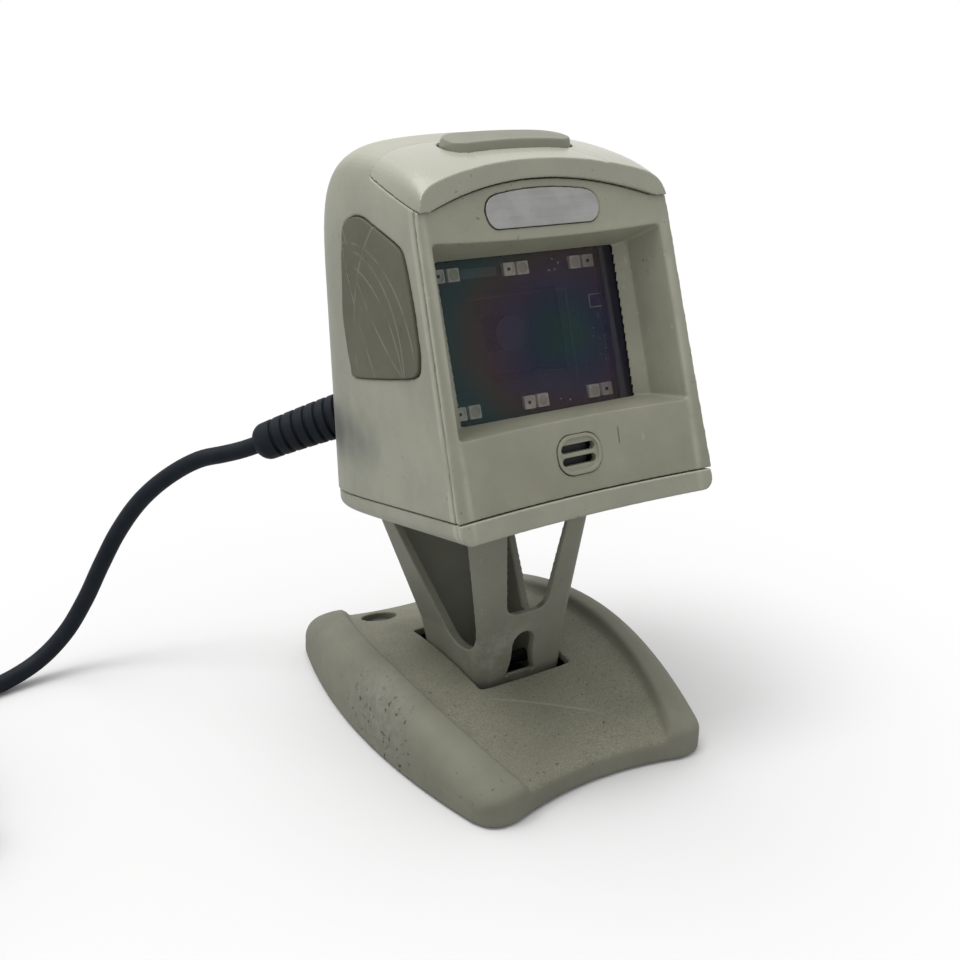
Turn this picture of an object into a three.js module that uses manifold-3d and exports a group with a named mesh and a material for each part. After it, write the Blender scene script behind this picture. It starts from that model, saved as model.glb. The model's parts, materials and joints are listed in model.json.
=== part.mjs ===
// Omnidirectional presentation barcode scanner on a tilting stand.
// Millimetres, +Z up, +X to the viewer's right, -Y towards the viewer (the scanning window side).
// The origin is on the table, under the middle of the base.
import * as THREE from 'three';
import { ParametricGeometry } from 'three/addons/geometries/ParametricGeometry.js';
import { ConvexGeometry } from 'three/addons/geometries/ConvexGeometry.js';
import { mergeVertices } from 'three/addons/utils/BufferGeometryUtils.js';
import Module from 'manifold-3d';

const wasm = await Module();
wasm.setup();

// ---------------------------------------------------------------- driving dimensions
const GAP = 0.3;                    // clearance between pieces that touch
const WALL = 2.5;                   // moulded wall thickness

// Head, in its own frame: x across, y back from the lower front edge, z up from the lower seam.
const HEAD_TILT = THREE.MathUtils.degToRad(12.15);   // the head leans back at rest
const HEAD_AT = new THREE.Vector3(0, -50.25, 85.4);  // lower front edge of the head
const HEAD_HALF_WIDTH = 40;
const HEAD_SIDE_DRAFT = 0.018;      // the sides lean in, mm per mm of height
const HEAD_DEPTH = 91.5;
const HEAD_REAR_DRAFT = 0.18;       // the back leans in, mm per mm of height
const HEAD_FLAT_SIDE = 38.5;        // the sides run straight back this far
const HEAD_FRONT_REACH = 26;        // the raw block runs this far past the front face before it is cut
const PLAN_POWER = 5;               // squareness of the rounded back in plan
const ROOF_POWER = 8.4;             // squareness of the roof edges
const ROOF_POWER_FRONT = 18;        // added at the front corners, where the edge is sharper
const PINCH = 2.1;                  // the sides draw in towards the upper front corners
const PINCH_FADE = 9;
const RIM_ROUND = 3.2;              // the lower rim is rounded over this height
const ROOF_FROM = 30;               // the roof rounding starts above this height
const ROOF_FRONT = 79.6;
const ROOF_RISE = 0.62;
const ROOF_CURL = 0.0051;
const ROOF_CROWN = 2.9;
const LIP_CROWN = 4.8;              // extra crown that fades behind the front lip
const LIP_FADE = 8.3;
const FRONT_LEAN = 0.104;           // the front face leans back, mm per mm of height
const FRONT_HOLLOW = 3.6;           // the front face is hollow in plan by this much at the middle
const BAND_HEIGHT = 5.8;            // bottom cover band below the lower seam
const SEAM = 0.5;                   // open width of the visible seams

// Hood (top cover)
const HOOD_APEX = 81.2;             // front seam height at the middle
const HOOD_DROP = 8;                // front seam is this much lower at the corners
const HOOD_HALF = 37;
const HOOD_SIDE_RISE = 0.45;        // the side seam climbs backwards
const HOOD_BACK = 33.4;
const HOOD_LIP = 1.1;               // the hood stands this far in front of the bezel

// Window recess and what stands behind it; depths are measured behind the front face's corner plane
const BEZEL_HALF_TOP = 36.4;
const BEZEL_HALF_BOTTOM = 38;
const RECESS_OUT = { top: 67.8, bottom: 19.3, halfTop: 35, halfBottom: 36.3 };
const RECESS_IN = { top: 62.8, bottom: 21.2, half: 27.4 };
const WINDOW_DEPTH = 14;
const WINDOW_THICK = 1.6;
const WINDOW_LAP = 2.2;
const BOARD_DEPTH = 21.4;
const BOARD_THICK = 1.6;
const BOARD_HALF = 31;
const BOARD_BOTTOM = 17.5;
const BOARD_TOP = 66.5;
const APERTURE = { half: 12.5, bottom: 30.5, top: 53.5 };
const LED_SIZE = 3.5;
const LED_HEIGHT = 0.9;
const LED_ROWS = [23.4, 59.3];
const LED_PAIRS = [-21.5, 0, 21.5];
const LED_PITCH = 4.4;

// Push button on the roof
const BUTTON_HALF = 19;
const BUTTON_FRONT = 19.6;
const BUTTON_BACK = 31.6;
const BUTTON_RISE = 2.6;            // it stands this far out of the roof
const BUTTON_TRAVEL = 1.0;
const BUTTON_FLOOR = 84.5;          // underside of the button's skirt
const SWITCH_TOP = 75;              // top of the switch housing

// Speaker insert in the chin
const SPEAKER = { z: 10.4, halfWidth: 6.8, halfHeight: 5.2, slotHalf: 5.3, slotHeight: 2.2, slotPitch: 3.3 };

// Badge in the brow
const BADGE = { z: 73.9, halfWidth: 17.2, halfHeight: 4.7, thick: 1.2 };

// Side grips
const GRIP_THICK = 1.5;
const GRIP_SINK = 0.9;

// Base, in the world frame
const BASE_HALF_LENGTH = 59.8;
const BASE_END_HOLLOW = 4.4;
const BASE_HALF_WIDTH = 47.3;
const BASE_BARREL = 0.00245;         // outline curvature, mm per mm squared
const BASE_WIDEST_Y = 5;
const BASE_TIP_ROUND = 8;
const PLATE_TOP = 17.9;
const PLATE_ARCH = 0.0028;
const CREST_X = 37;
const CREST_PULL = 11;
const CREST_RISE = 4.4;
const CREST_FADE = 2;
const BASE_RIM = 0.8;               // the shell's rim stands off the table by this much
const SLOT_FRONT = -20.3;
const SLOT_BACK = 22.6;
const SLOT_HALF = 16;
const HOLE_AT = { x: 17.5, y: 45.2, radius: 6, seat: 5 };
const FOOT_RADIUS = 6;

// Pivot
const PIVOT_Y = 0;
const PIVOT_Z = 10.5;
const SHAFT_RADIUS = 2;
const BORE_RADIUS = 2.06;
const BRACKET_IN = 16.6;
const BRACKET_OUT = 21.6;

// Neck, in the head frame
const NECK_WALL = 3;
const NECK_TOP = -BAND_HEIGHT - GAP;
const NECK_WAIST = -46;
const NECK_HALF = 15.4;
const NECK_FRONT = (z) => 28.9 - (z + 14) * 0.398;
const NECK_REAR = (z) => 90.2 + (z + 15) * 0.265;
const NECK_HALF_FRONT_TOP = 18.6;
const NECK_HALF_REAR_TOP = 22.6;

// Cable
const CABLE_RADIUS = 2.75;
const BOOT_LENGTH = 38;
const BOOT_ROOT = 5.9;
const BOOT_TIP = 4.5;

// Cable route on the table side: down from the boot, along the table, then into a stored coil.
const CABLE_ROUTE = [
  [-56.94, 55.66, 77.64], [-62, 59.66, 75.43], [-68.6, 64.8, 72.1], [-77, 70.6, 66.4], [-85.4, 75.6, 58.2],
  [-92.8, 79.4, 47.6], [-99.2, 82, 35.8], [-105.4, 83.4, 24.2], [-112.8, 83.8, 14], [-122, 83, 6.9],
  [-132.4, 81, 3.5], [-143, 78.6, 2.86], [-154, 76, 2.86], [-166, 73.2, 3], [-177, 70.6, 3.5],
];
const CABLE_STEPS = 44;
const COIL_AT = { x: -193, y: 30 };
const COIL_RADII = [25.5, 36.5];    // innermost and outermost turn
const COIL_LAYERS = [4.35, 15.35];  // heights of the lowest and highest turn
const TIE_ANGLE = 20;              // degrees, seen from above
const TIE_THICK = 1;
const TIE_HALF = 3;
const PLUG_ANGLE = 290;             // the plug lies on top of the coil here
const PLUG = { halfWidth: 7.8, halfHeight: 4, length: 27, shellHalf: 6, shellHalfHeight: 2.25, shell: 12 };

const COLOURS = {
  roof: [0xc1c0b2, 0.55, 0], front: [0x8a8a79, 0.6, 0], side: [0x92927f, 0.58, 0],
  button: [0x8c8d7d, 0.65, 0], grip: [0x646356, 0.75, 0], badge: [0x8c8c8a, 0.35, 0.7],
  glass: [0x1a2028, 0.08, 0.2], black: [0x15171a, 0.6, 0], board: [0x1f3a30, 0.5, 0],
  led: [0xd8d4c0, 0.3, 0], steel: [0xa8a8aa, 0.35, 1], rubber: [0x22272c, 0.7, 0],
  base: [0x69685a, 0.8, 0], rail: [0x7a7a6c, 0.65, 0], cast: [0x4a4a48, 0.7, 0.6], brass: [0xb8a060, 0.4, 1],
};

// ---------------------------------------------------------------- solids and booleans
function solid(geometry) {
  const bare = geometry.clone();
  bare.deleteAttribute('normal');
  bare.deleteAttribute('uv');
  const merged = mergeVertices(bare, 1e-4);
  const index = merged.index.array;
  const kept = [];
  for (let i = 0; i < index.length; i += 3) {
    const [a, b, c] = [index[i], index[i + 1], index[i + 2]];
    if (a !== b && b !== c && c !== a) kept.push(a, b, c);
  }
  const mesh = new wasm.Mesh({
    numProp: 3,
    vertProperties: new Float32Array(merged.attributes.position.array),
    triVerts: new Uint32Array(kept),
  });
  return new wasm.Manifold(mesh);
}

function toGeometry(manifold) {
  const mesh = manifold.getMesh();
  const geometry = new THREE.BufferGeometry();
  geometry.setAttribute('position', new THREE.BufferAttribute(new Float32Array(mesh.vertProperties), 3));
  geometry.setIndex(new THREE.BufferAttribute(new Uint32Array(mesh.triVerts), 1));
  return geometry;
}

function box(x0, x1, y0, y1, z0, z1) {
  const geometry = new THREE.BoxGeometry(x1 - x0, y1 - y0, z1 - z0);
  geometry.translate((x0 + x1) / 2, (y0 + y1) / 2, (z0 + z1) / 2);
  return solid(geometry);
}

// A cylinder along 'x', 'y' or 'z' between two values on that axis.
function rod(axis, from, to, radius, at, sides = 20, radiusTo = radius) {
  const geometry = new THREE.CylinderGeometry(radiusTo, radius, to - from, sides);
  if (axis === 'x') geometry.rotateZ(-Math.PI / 2);
  if (axis === 'z') geometry.rotateX(Math.PI / 2);
  const mid = (from + to) / 2;
  const place = { x: [mid, at[0], at[1]], y: [at[0], mid, at[1]], z: [at[0], at[1], mid] }[axis];
  geometry.translate(...place);
  return solid(geometry);
}

function ring(axis, from, to, outer, inner, at, sides = 20) {
  return rod(axis, from, to, outer, at, sides).subtract(rod(axis, from - 1, to + 1, inner, at, sides));
}

// A shape drawn in x,z and pushed along +y from y0 to y1.
function frontPrism(shape, y0, y1, curveSegments = 8) {
  const geometry = new THREE.ExtrudeGeometry(shape, { depth: y1 - y0, bevelEnabled: false, curveSegments });
  geometry.rotateX(Math.PI / 2);
  geometry.translate(0, y1, 0);
  return geometry;
}

// A shape drawn in y,z and pushed along +x from x0 to x1.
function sidePrism(shape, x0, x1, curveSegments = 8) {
  const geometry = new THREE.ExtrudeGeometry(shape, { depth: x1 - x0, bevelEnabled: false, curveSegments });
  geometry.applyMatrix4(new THREE.Matrix4().set(0, 0, 1, x0, 1, 0, 0, 0, 0, 1, 0, 0, 0, 0, 0, 1));
  return solid(geometry);
}

function polygon(points) {
  return new THREE.Shape(points.map(([a, b]) => new THREE.Vector2(a, b)));
}

function roundedRect(halfWidth, halfHeight, wantedRadius, cx = 0, cy = 0) {
  const radius = Math.min(wantedRadius, halfWidth - 0.02, halfHeight - 0.02);
  const shape = new THREE.Shape();
  shape.moveTo(cx - halfWidth + radius, cy - halfHeight);
  shape.lineTo(cx + halfWidth - radius, cy - halfHeight);
  shape.absarc(cx + halfWidth - radius, cy - halfHeight + radius, radius, -Math.PI / 2, 0);
  shape.lineTo(cx + halfWidth, cy + halfHeight - radius);
  shape.absarc(cx + halfWidth - radius, cy + halfHeight - radius, radius, 0, Math.PI / 2);
  shape.lineTo(cx - halfWidth + radius, cy + halfHeight);
  shape.absarc(cx - halfWidth + radius, cy + halfHeight - radius, radius, Math.PI / 2, Math.PI);
  shape.lineTo(cx - halfWidth, cy - halfHeight + radius);
  shape.absarc(cx - halfWidth + radius, cy - halfHeight + radius, radius, Math.PI, 1.5 * Math.PI);
  return shape;
}

const shearY = new THREE.Matrix4().set(1, 0, 0, 0, 0, 1, FRONT_LEAN, 0, 0, 0, 1, 0, 0, 0, 0, 1);

// A box that leans back with the front face; y is the depth behind the corner plane.
function leaningPrism(shape, depth0, depth1) {
  const geometry = frontPrism(shape, depth0, depth1);
  geometry.applyMatrix4(shearY);
  return solid(geometry);
}

// ---------------------------------------------------------------- head outer form
function roofHeight(x, y) {
  const back = Math.max(0, y);
  const crown = ROOF_CROWN + LIP_CROWN * Math.exp(-back / LIP_FADE);
  return ROOF_FRONT + ROOF_RISE * back - ROOF_CURL * back * back - crown * (x / 39) ** 2;
}

// Rounded block: a plan outline swept up and closed over by the roof. inset moves every wall inwards.
function headBlock(inset, floor) {
  const halfWidth = HEAD_HALF_WIDTH - inset;
  const reach = HEAD_DEPTH - inset - HEAD_FLAT_SIDE;
  const front = -HEAD_FRONT_REACH;
  const outline = [[0, front], [halfWidth, front], [halfWidth, 0], [halfWidth, 9], [halfWidth, 20]];
  const arcSteps = 13;
  for (let i = 0; i <= arcSteps; i += 1) {
    const angle = (i / arcSteps) * Math.PI / 2;
    const x = halfWidth * Math.cos(angle) ** (2 / PLAN_POWER);
    const y = HEAD_FLAT_SIDE + reach * Math.sin(angle) ** (2 / PLAN_POWER);
    outline.push([i === arcSteps ? 0 : x, y]);
  }
  const mirrored = outline.slice(1, -1).reverse().map(([x, y]) => [-x, y]);
  const loop = [...outline, ...mirrored];
  const centre = 40;
  // Rows: middle of the floor, rim, top of the rim's rounding, then the roof's rounding and its crown.
  const roofAngles = [0, 18, 36, 50, 62].map(THREE.MathUtils.degToRad);
  const crownShares = [0.9, 0.78, 0.64, 0.5, 0.34, 0.17, 0];
  const rimSpread = floor < 0 ? 1 - RIM_ROUND / 40 : 1;
  const rows = 2 + roofAngles.length + crownShares.length;
  const point = (u, v, target) => {
    const [ox, oy] = loop[Math.round(u * loop.length) % loop.length];
    const row = Math.round(v * rows);
    const power = ROOF_POWER + ROOF_POWER_FRONT * Math.exp(-Math.max(0, oy) / 12);
    const roofRow = row - 3;
    let spread = [0, rimSpread, 1][row];
    let lift = 0;
    if (roofRow >= 0 && roofRow < roofAngles.length) {
      spread = Math.cos(roofAngles[roofRow]) ** (2 / power);
      lift = Math.sin(roofAngles[roofRow]) ** (2 / power);
    } else if (roofRow >= 0) {
      const share = crownShares[roofRow - roofAngles.length];
      spread = share * Math.cos(roofAngles[roofAngles.length - 1]) ** (2 / power);
      lift = (1 - spread ** power) ** (1 / power);
    }
    const x = ox * spread;
    const y = centre + (oy - centre) * spread;
    const top = roofHeight(x, y) - inset;
    const z = row < 3 ? floor + (row === 2 ? RIM_ROUND : 0) : ROOF_FROM + (top - ROOF_FROM) * lift;
    const pinch = PINCH * Math.max(0, z) / 74 * Math.exp(-Math.max(0, y) / PINCH_FADE) * Math.sign(x);
    const sideScale = 1 - HEAD_SIDE_DRAFT * z / HEAD_HALF_WIDTH;
    const rearScale = 1 - HEAD_REAR_DRAFT * z / (HEAD_DEPTH - HEAD_FLAT_SIDE);
    const draftedY = y > HEAD_FLAT_SIDE ? HEAD_FLAT_SIDE + (y - HEAD_FLAT_SIDE) * rearScale : y;
    target.set((x - pinch * (Math.abs(x) / halfWidth) ** 3) * sideScale, draftedY, z);
  };
  const geometry = new ParametricGeometry(point, loop.length, rows);
  const made = solid(geometry);
  return made.volume() < 0 ? solid(flipped(geometry)) : made;
}

function flipped(geometry) {
  const turned = geometry.clone();
  const index = turned.index.array;
  for (let i = 0; i < index.length; i += 3) [index[i + 1], index[i + 2]] = [index[i + 2], index[i + 1]];
  return turned;
}

// Everything behind the hollow, leaning front face, moved back by depth.
function behindFront(depth) {
  const shape = new THREE.Shape();
  const edge = 60;
  const steps = 14;
  const hollow = (x) => FRONT_HOLLOW * (1 - (x / 39) ** 2);
  shape.moveTo(edge, 140);
  shape.lineTo(-edge, 140);
  for (let i = 0; i <= steps; i += 1) {
    const x = -edge + 2 * edge * i / steps;
    shape.lineTo(x, depth + hollow(x));
  }
  const geometry = new THREE.ExtrudeGeometry(shape, { depth: 160, bevelEnabled: false });
  geometry.translate(0, 0, -30);
  geometry.applyMatrix4(shearY);
  return solid(geometry);
}

// Everything above the hood's seam, moved up by lift: an arch across the front and a line that climbs
// backwards along each side.
function aboveHoodSeam(lift, back) {
  const shape = new THREE.Shape();
  const edge = 46;
  const steps = 12;
  const seam = (x) => HOOD_APEX - HOOD_DROP * (x / HOOD_HALF) ** 2 + lift;
  shape.moveTo(edge, 130);
  shape.lineTo(-edge, 130);
  for (let i = 0; i <= steps; i += 1) {
    const x = -edge + 2 * edge * i / steps;
    shape.lineTo(x, seam(x));
  }
  const corner = seam(HOOD_HALF);
  const climb = [[-20, 40], [back + 20, 40], [back + 20, corner + HOOD_SIDE_RISE * (back + 15)],
    [-20, corner - HOOD_SIDE_RISE * 25]];
  const wedges = sidePrism(polygon(climb), -60, -33).add(sidePrism(polygon(climb), 33, 60));
  return solid(frontPrism(shape, -20, back)).subtract(wedges);
}

const outer = headBlock(0, -BAND_HEIGHT);
const inner = headBlock(WALL, -BAND_HEIGHT + WALL);
const upperHalf = box(-60, 60, -40, 120, SEAM / 2, 130);
const hoodZone = aboveHoodSeam(0, HOOD_BACK - SEAM);
const hoodZoneWide = aboveHoodSeam(-SEAM, HOOD_BACK);

// ---------------------------------------------------------------- bezel
function faceOutline(grow, topZ = 95) {
  return polygon([[-BEZEL_HALF_BOTTOM - grow, SEAM - grow], [BEZEL_HALF_BOTTOM + grow, SEAM - grow],
    [BEZEL_HALF_TOP + grow - 0.5, topZ], [-BEZEL_HALF_TOP - grow + 0.5, topZ]]);
}

function recessPoints(at, grow) {
  if (at === 'out') {
    return [[-RECESS_OUT.halfBottom - grow, RECESS_OUT.bottom - grow], [RECESS_OUT.halfBottom + grow, RECESS_OUT.bottom - grow],
      [RECESS_OUT.halfTop + grow, RECESS_OUT.top + grow], [-RECESS_OUT.halfTop - grow, RECESS_OUT.top + grow]];
  }
  const half = RECESS_IN.half + grow;
  const low = RECESS_IN.bottom - grow;
  const high = RECESS_IN.top + grow;
  return [[-half, low], [half, low], [half, high], [-half, high]];
}

function recessBlock(grow, depth0, depth1) {
  const slope = WINDOW_DEPTH;
  const corner = ([[xo, zo], [xi, zi]], depth) => {
    const t = depth / slope;
    const z = zo + (zi - zo) * t;
    return new THREE.Vector3(xo + (xi - xo) * t, depth + FRONT_LEAN * z, z);
  };
  const pairs = recessPoints('out', grow).map((point, i) => [point, recessPoints('in', grow)[i]]);
  const corners = [depth0, depth1].flatMap((depth) => pairs.map((pair) => corner(pair, depth)));
  return solid(new ConvexGeometry(corners));
}

function frontBezel() {
  const plate = leaningPrism(faceOutline(0), -1, WALL + FRONT_HOLLOW + 0.4);
  const face = outer.intersect(behindFront(0)).intersect(plate).subtract(behindFront(WALL));
  const funnel = recessBlock(1.8, 0.5, WINDOW_DEPTH).intersect(behindFront(0.6));
  const cut = recessBlock(0, -6, WINDOW_DEPTH + 1);
  const speakerHole = leaningPrism(roundedRect(SPEAKER.halfWidth + GAP, SPEAKER.halfHeight + GAP, 4.6, 0, SPEAKER.z), -2, 9);
  const badgePocket = leaningPrism(badgeShape(GAP), -2, 9).subtract(behindFront(BADGE.thick));
  return face.add(funnel).subtract(cut).subtract(hoodZoneWide).subtract(speakerHole).subtract(badgePocket);
}

// ---------------------------------------------------------------- rear housing
function rearHousing() {
  const shell = outer.intersect(behindFront(0.5)).intersect(upperHalf).subtract(inner);
  const bezelZone = leaningPrism(faceOutline(SEAM * 0.7), -30, WALL + FRONT_HOLLOW + 1);
  const openFront = leaningPrism(polygon([[-36, -3], [36, -3], [34.4, 78], [-34.4, 78]]), -30, 14);
  const bootHole = bootBody(GAP, -10, 14);
  const gripPockets = gripBody(-1, GAP, 0).add(gripBody(1, GAP, 0));
  return shell.subtract(bezelZone).subtract(openFront).subtract(hoodZoneWide)
    .subtract(bootHole).subtract(gripPockets);
}

// ---------------------------------------------------------------- hood
function topCover() {
  const body = outer.intersect(behindFront(-HOOD_LIP)).intersect(hoodZone);
  const hollow = headBlock(WALL, 20).intersect(behindFront(WALL));
  return body.subtract(hollow).subtract(buttonBlock(GAP, BUTTON_FLOOR - 6));
}

function buttonBlock(grow, floor) {
  const shape = roundedRect(BUTTON_HALF + grow, (BUTTON_BACK - BUTTON_FRONT) / 2 + grow, 5.2, 0,
    (BUTTON_FRONT + BUTTON_BACK) / 2);
  const geometry = new THREE.ExtrudeGeometry(shape, { depth: 110 - floor, bevelEnabled: false, curveSegments: 6 });
  geometry.translate(0, 0, floor);
  return solid(geometry);
}

function topButton() {
  const column = buttonBlock(0, BUTTON_FLOOR);
  const crown = headBlock(-BUTTON_RISE, 20);
  const hollow = buttonBlock(-1.8, BUTTON_FLOOR - 1).subtract(box(-60, 60, -40, 120, BUTTON_FLOOR + 5, 130));
  const stem = rod('z', BUTTON_FLOOR - 1.6, BUTTON_FLOOR + 6, 2, [0, 25.6], 16);
  return column.intersect(crown).subtract(hollow).add(stem);
}

function buttonSpring() {
  return ring('z', SWITCH_TOP + GAP, BUTTON_FLOOR + 5 - GAP - BUTTON_TRAVEL, 3.9, 2.9, [0, 25.6], 20);
}

// ---------------------------------------------------------------- small head fittings
function badgeShape(grow) {
  const w = BADGE.halfWidth + grow;
  const h = BADGE.halfHeight + grow;
  const shape = new THREE.Shape();
  shape.moveTo(-w + 3, BADGE.z - h);
  shape.lineTo(w - 3, BADGE.z - h);
  shape.quadraticCurveTo(w - 0.4, BADGE.z - h + 0.6, w, BADGE.z - 0.6);
  shape.quadraticCurveTo(w, BADGE.z + h - 1.8, w - 4, BADGE.z + h - 0.9);
  shape.quadraticCurveTo(0, BADGE.z + h + 1.2, -w + 4, BADGE.z + h - 0.9);
  shape.quadraticCurveTo(-w, BADGE.z + h - 1.8, -w, BADGE.z - 0.6);
  shape.quadraticCurveTo(-w + 0.4, BADGE.z - h + 0.6, -w + 3, BADGE.z - h);
  return shape;
}

function badge() {
  const sheet = behindFront(-0.35).subtract(behindFront(BADGE.thick - GAP));
  return leaningPrism(badgeShape(0), -3, 9).intersect(sheet);
}

function speakerGrille() {
  const body = leaningPrism(roundedRect(SPEAKER.halfWidth, SPEAKER.halfHeight, 4.6, 0, SPEAKER.z), -2, 9)
    .intersect(behindFront(-0.3)).subtract(behindFront(WALL));
  const slot = (z) => leaningPrism(roundedRect(SPEAKER.slotHalf, SPEAKER.slotHeight / 2, SPEAKER.slotHeight / 2 - 0.01, 0, z), -3, 10);
  return body.subtract(slot(SPEAKER.z + SPEAKER.slotPitch / 2)).subtract(slot(SPEAKER.z - SPEAKER.slotPitch / 2));
}

function beeper() {
  return rod('y', 8.2, 13.4, 5, [0, SPEAKER.z], 20);
}

function rectPrism(half, bottom, top, depth0, depth1) {
  return leaningPrism(polygon([[-half, bottom], [half, bottom], [half, top], [-half, top]]), depth0, depth1);
}

function scanWindow() {
  return rectPrism(RECESS_IN.half + WINDOW_LAP, RECESS_IN.bottom - WINDOW_LAP, RECESS_IN.top + WINDOW_LAP,
    WINDOW_DEPTH + GAP, WINDOW_DEPTH + GAP + WINDOW_THICK);
}

function lightBaffle() {
  const from = WINDOW_DEPTH + WINDOW_THICK + 2 * GAP;
  const outside = rectPrism(BOARD_HALF - 1, BOARD_BOTTOM + 0.6, BOARD_TOP - 0.6, from, BOARD_DEPTH - GAP);
  return outside.subtract(rectPrism(BOARD_HALF - 3.2, BOARD_BOTTOM + 2.6, BOARD_TOP - 2.6, from - 1, BOARD_DEPTH + 1));
}

function illuminationBoard() {
  const sheet = rectPrism(BOARD_HALF, BOARD_BOTTOM, BOARD_TOP, BOARD_DEPTH, BOARD_DEPTH + BOARD_THICK);
  return sheet.subtract(rectPrism(APERTURE.half, APERTURE.bottom, APERTURE.top, BOARD_DEPTH - 1, BOARD_DEPTH + 3));
}

function led(x, z) {
  const half = LED_SIZE / 2;
  return leaningPrism(polygon([[x - half, z - half], [x + half, z - half], [x + half, z + half], [x - half, z + half]]),
    BOARD_DEPTH - LED_HEIGHT - 0.05, BOARD_DEPTH - 0.05);
}

const CAMERA_Z = (APERTURE.bottom + APERTURE.top) / 2;

function cameraHousing() {
  const from = BOARD_DEPTH + BOARD_THICK + GAP;
  const shell = rectPrism(APERTURE.half + 2.4, APERTURE.bottom - 2.4, APERTURE.top + 2.4, from, from + 16);
  const hollow = rectPrism(APERTURE.half, APERTURE.bottom, APERTURE.top, from - 1, from + 14);
  const bore = rod('y', from, from + 30, 5.4, [0, CAMERA_Z], 24);
  return shell.subtract(hollow).subtract(bore);
}

function lensBarrel() {
  const from = BOARD_DEPTH + BOARD_THICK + 9;
  return rod('y', from, from + 12.5, 5, [0, CAMERA_Z], 24);
}

function cameraBoard() {
  const at = BOARD_DEPTH + BOARD_THICK + GAP + 19;
  return box(-15, 15, at + 3, at + 4.6, CAMERA_Z - 13, CAMERA_Z + 13);
}

function mainBoard() {
  const slab = box(-31, 31, 58, 59.6, 6, 66);
  return slab.subtract(rod('y', 50, 70, 1.6, [-27, 10], 12)).subtract(rod('y', 50, 70, 1.6, [27, 10], 12));
}

function boardScrew(x) {
  const shank = rod('y', 57.2, 64, 1.3, [x, 10], 12);
  return shank.add(rod('y', 55.6, 57.3, 2.8, [x, 10], 16));
}

function cableHeader() {
  return box(-24, -12, 60, 66, 14, 22);
}

function tactSwitch() {
  return box(-3.1, 3.1, 22.5, 28.7, SWITCH_TOP - 3.4, SWITCH_TOP)
    .subtract(rod('z', SWITCH_TOP - 1.8, SWITCH_TOP + 1, 1.9, [0, 25.6], 16));
}

function switchBoard() {
  return box(-14, 14, 17, 33.5, SWITCH_TOP - 5.3, SWITCH_TOP - 3.7);
}

function switchPlunger() {
  return rod('z', SWITCH_TOP - 0.5, BUTTON_FLOOR - 1.6 - GAP, 1.6, [0, 25.6], 16);
}

// Side grips follow the side wall: a pad outline pushed sideways and kept inside a shell around the wall.
function gripShape(grow) {
  const points = [[17, 35.4], [50.6, 34.8], [53.6, 37.8], [55, 52], [50, 73.2], [47, 76.2], [41, 76.9],
    [35, 75.4], [18.4, 67.4], [15.2, 62.8], [12.8, 48], [12.6, 39.6]];
  const centre = [34, 55];
  return points.map(([y, z]) => [y + Math.sign(y - centre[0]) * grow, z + Math.sign(z - centre[1]) * grow]);
}

function gripBody(side, grow, shrinkDepth) {
  const sheet = headBlock(GRIP_SINK - GRIP_THICK, 0).subtract(headBlock(GRIP_SINK + grow - shrinkDepth, -2));
  const x0 = side < 0 ? -60 : 20;
  const curve = new THREE.CatmullRomCurve3(gripShape(grow).map(([y, z]) => new THREE.Vector3(y, z, 0)), true, 'catmullrom', 0.35);
  const shape = new THREE.Shape(curve.getPoints(36).slice(0, -1).map((p) => new THREE.Vector2(p.x, p.y)));
  return sidePrism(shape, x0, x0 + 40).intersect(sheet);
}

// ---------------------------------------------------------------- bottom cover
function bottomCover() {
  const band = outer.intersect(behindFront(-0.1)).intersect(box(-60, 60, -40, 120, -BAND_HEIGHT, -SEAM / 2));
  const hollow = headBlock(WALL, -BAND_HEIGHT - 5).intersect(behindFront(WALL))
    .intersect(box(-60, 60, -40, 120, -BAND_HEIGHT + WALL, 20));
  return band.subtract(hollow).subtract(rod('z', -20, 10, 5, [0, 60], 20))
    .subtract(rod('z', -20, 10, 2, [-11, 60], 14)).subtract(rod('z', -20, 10, 2, [11, 60], 14));
}

// ---------------------------------------------------------------- neck
function neckSection(z, halfFront, halfRear, front, rear) {
  const corner = 2.6;
  const points = [];
  const corners = [[halfFront, front, -1], [halfRear, rear, 1]];
  for (const side of [-1, 1]) {
    for (const [half, y, out] of corners) {
      for (let i = 0; i <= 3; i += 1) {
        const angle = (i / 3) * Math.PI / 2;
        const x = side * (half - corner + corner * Math.cos(angle));
        points.push(new THREE.Vector3(x, y - out * (corner - corner * Math.sin(angle)), z));
      }
    }
  }
  return points;
}

function neckBlock(wall) {
  const upper = [
    ...neckSection(NECK_WAIST - 0.01, NECK_HALF - wall, NECK_HALF - wall,
      NECK_FRONT(NECK_WAIST) + wall, NECK_REAR(NECK_WAIST) - wall),
    ...neckSection(NECK_TOP - (wall ? NECK_WALL : 0), NECK_HALF_FRONT_TOP - wall, NECK_HALF_REAR_TOP - wall,
      NECK_FRONT(NECK_TOP) + wall, NECK_REAR(NECK_TOP) - wall),
  ];
  const bottom = wall ? -75 : NECK_FOOT;
  const lower = [
    ...neckSection(NECK_WAIST, NECK_HALF - wall, NECK_HALF - wall,
      NECK_FRONT(NECK_WAIST) + wall, NECK_REAR(NECK_WAIST) - wall),
    ...neckSection(bottom + 3.2, NECK_HALF - wall, NECK_HALF - wall,
      NECK_FRONT(bottom + 3.2) + wall, NECK_REAR(bottom + 3.2) - wall),
    ...neckSection(bottom, NECK_HALF - wall, NECK_HALF - wall,
      NECK_FRONT(bottom) + wall + 4, NECK_REAR(bottom) - wall - 4),
  ];
  return solid(new ConvexGeometry(upper)).add(solid(new ConvexGeometry(lower)));
}

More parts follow.
